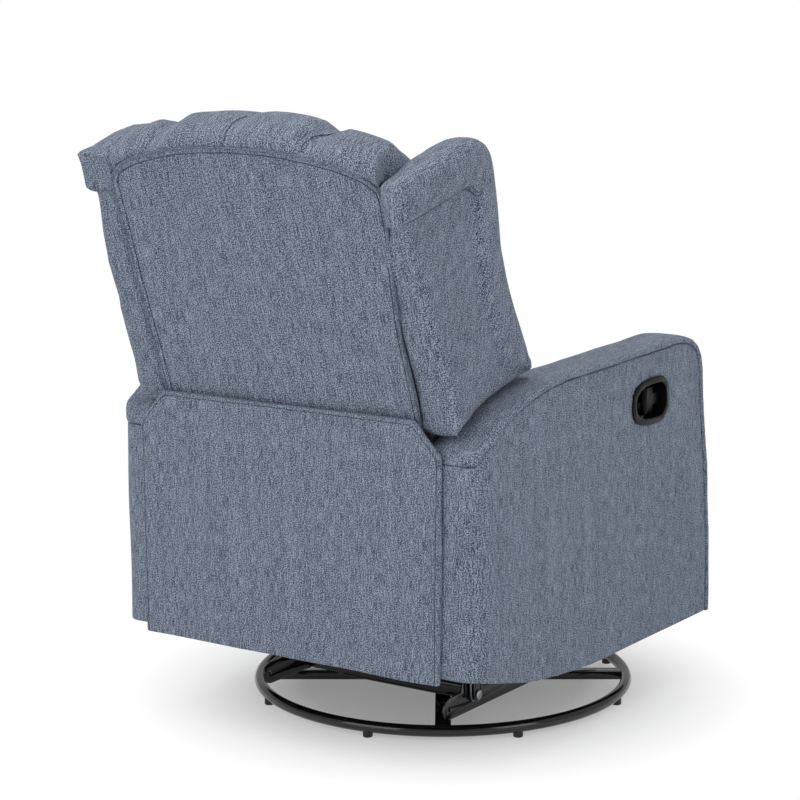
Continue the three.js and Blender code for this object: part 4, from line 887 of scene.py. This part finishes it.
finder = BVHTree.FromObject(cushion, bpy.context.evaluated_depsgraph_get())
for number, (x, height) in enumerate(button_spots, 1):
    start = on_back(x, height, 260)
    spot, _, _, _ = finder.ray_cast(start, -Vector(into), 0.3)
    deselect()
    bpy.ops.mesh.primitive_uv_sphere_add(segments=32, ring_count=16, radius=0.0125)
    button = bpy.context.object
    choose_points(button, points_of(button)[:, 2] < -0.001)
    bpy.ops.transform.resize(value=(0.9, 0.9, 0.25), center_override=(0, 0, 0))
    bpy.ops.object.mode_set(mode="OBJECT")
    button.scale = (1, 1, 0.5)
    button.rotation_euler = Vector(into).to_track_quat("Z", "Y").to_euler()
    button.location = spot + Vector(into) * 0.001
    settle(button)
    bpy.ops.object.shade_smooth()
    lay_weave(button, -back_lean)
    finish_with(button, cloth)
    stand_for(button, f"back_button_{number}", "backrest", "blue_grey_fabric")

# Wings
# Each wing is a padded board with a thick foam roll up its front and over its top. The
# roll is wrapped in its own strip of cloth, and a tight seam joins it to the side.
wing_seam_shares = [(0.958, 0.771), (0.867, 0.785), (0.676, 0.817), (0.485, 0.840), (0.440, 0.813), (0.430, 0.640),
                    (0.406, 0.503), (0.350, 0.371), (0.271, 0.253), (0.223, 0.194)]
# How far the right roll hangs down, by the distance behind the swivel axis.
right_roll_drop = [(0.36, 0), (0.392, 0.004), (0.448, 0.014), (0.502, 0.018), (0.596, 0.022)]


def settled_on_the_frame(points, sign):
    """The left roll rides up behind its top and the right one hangs down, as the back sits askew."""
    points = askew(points, spread=0)
    y, z = points[:, 1] - axis_y, points[:, 2].copy()
    back_face = 0.456 + (z - 0.590) * math.tan(back_lean)
    upper = fade(z - 0.66, 0.06)
    near_face = fade(y - back_face + 0.04, 0.04)
    raised = fade(z - 0.80, 0.12)
    proud = np.maximum(0, y - back_face - 0.002)
    if sign > 0:
        # The left wing stands outward, flush with the back. Its roll is up, and its underside further up.
        roll_up, underside_up = 0.014, 0.034
        lower = fade(0.74 - z, 0.08) * fade(z - 0.56, 0.03)
        points[:, 1] += near_face * (0.007 * upper + 0.012 * lower)
        points[:, 1] -= 1.2 * proud
        points[:, 0] += 0.005 * upper * (1 - 2.4 * raised) + 0.007 * lower
        arched = fade(y - 0.40, 0.07) * (1 - 0.5 * fade(y - 0.51, 0.07))
        hanging = fade(points[:, 0] - 0.314, 0.010) * fade(0.99 - z, 0.05)
        hanging *= fade(y - 0.48, 0.05)
        points[:, 2] += raised * (roll_up * arched + underside_up * hanging)
    else:
        # The right wing stands to the rear at its rear face and inward at its inner one.
        lower = fade(0.76 - z, 0.10) * fade(z - 0.55, 0.02)
        points[:, 1] += near_face * (0.009 * upper + 0.013 * lower)
        points[:, 0] += 0.008 * (1 - raised) * fade(points[:, 0] + 0.275, 0.012)
        inner = 1 - fade(-points[:, 0] - 0.256, 0.035)
        roll_end = fade(y - 0.50, 0.06)
        points[:, 1] -= 0.75 * proud + 0.030 * inner * roll_end * fade(z - 0.87, 0.05)
        points[:, 2] -= raised * table_at(y, right_roll_drop)
        points[:, 1] -= 0.006 * raised * fade(0.36 - y, 0.06)
    return points


for side, sign in (("left", 1), ("right", -1)):
    wing = soft_copy(f"wing_{side}", 0.0038, 8)
    set_points(wing, settled_on_the_frame(points_of(wing), sign))
    seam = settled_on_the_frame([chair_point(sign * 316, 219 + a * 377, 546 + b * 475) for a, b in wing_seam_shares],
                                sign)
    ripple(wing, 0.0016, 0.07, 31.0 + sign)
    press_in(wing, seam[:5], 0.005, 0.003)
    upholster(wing, f"wing_{side}", "backrest", lean=-back_lean)
    press_in(wing, seam[4:8], 0.006, 0.0012)
    # A thin dark cord along the seam paints the seam's shade.
    seam_cord(f"wing_seam_{side}", seam[:5], 0.0008, seam_shade, "backrest", "welt_fabric", on=wing, sink=0.0001)

# Footrest pad
# A foam pad on the footrest board. The cover is pulled round the board's edges, and a
# sewn channel crosses the pad near its top.
pad = soft_copy("footrest_pad", 0.006, 3, shrink=0.004)
pad_low, pad_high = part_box("footrest_pad")
swell(pad, 0.008, points_of(pad)[:, 1] > pad_high.y - 0.010)
subdivided(pad)
channel = [Vector((x, pad_low.y, pad_high.z - 0.075)) for x in np.linspace(pad_low.x + 0.02, pad_high.x - 0.02, 12)]
press_in(pad, channel, 0.010, 0.007)
upholster(pad, "footrest_pad", "footrest")
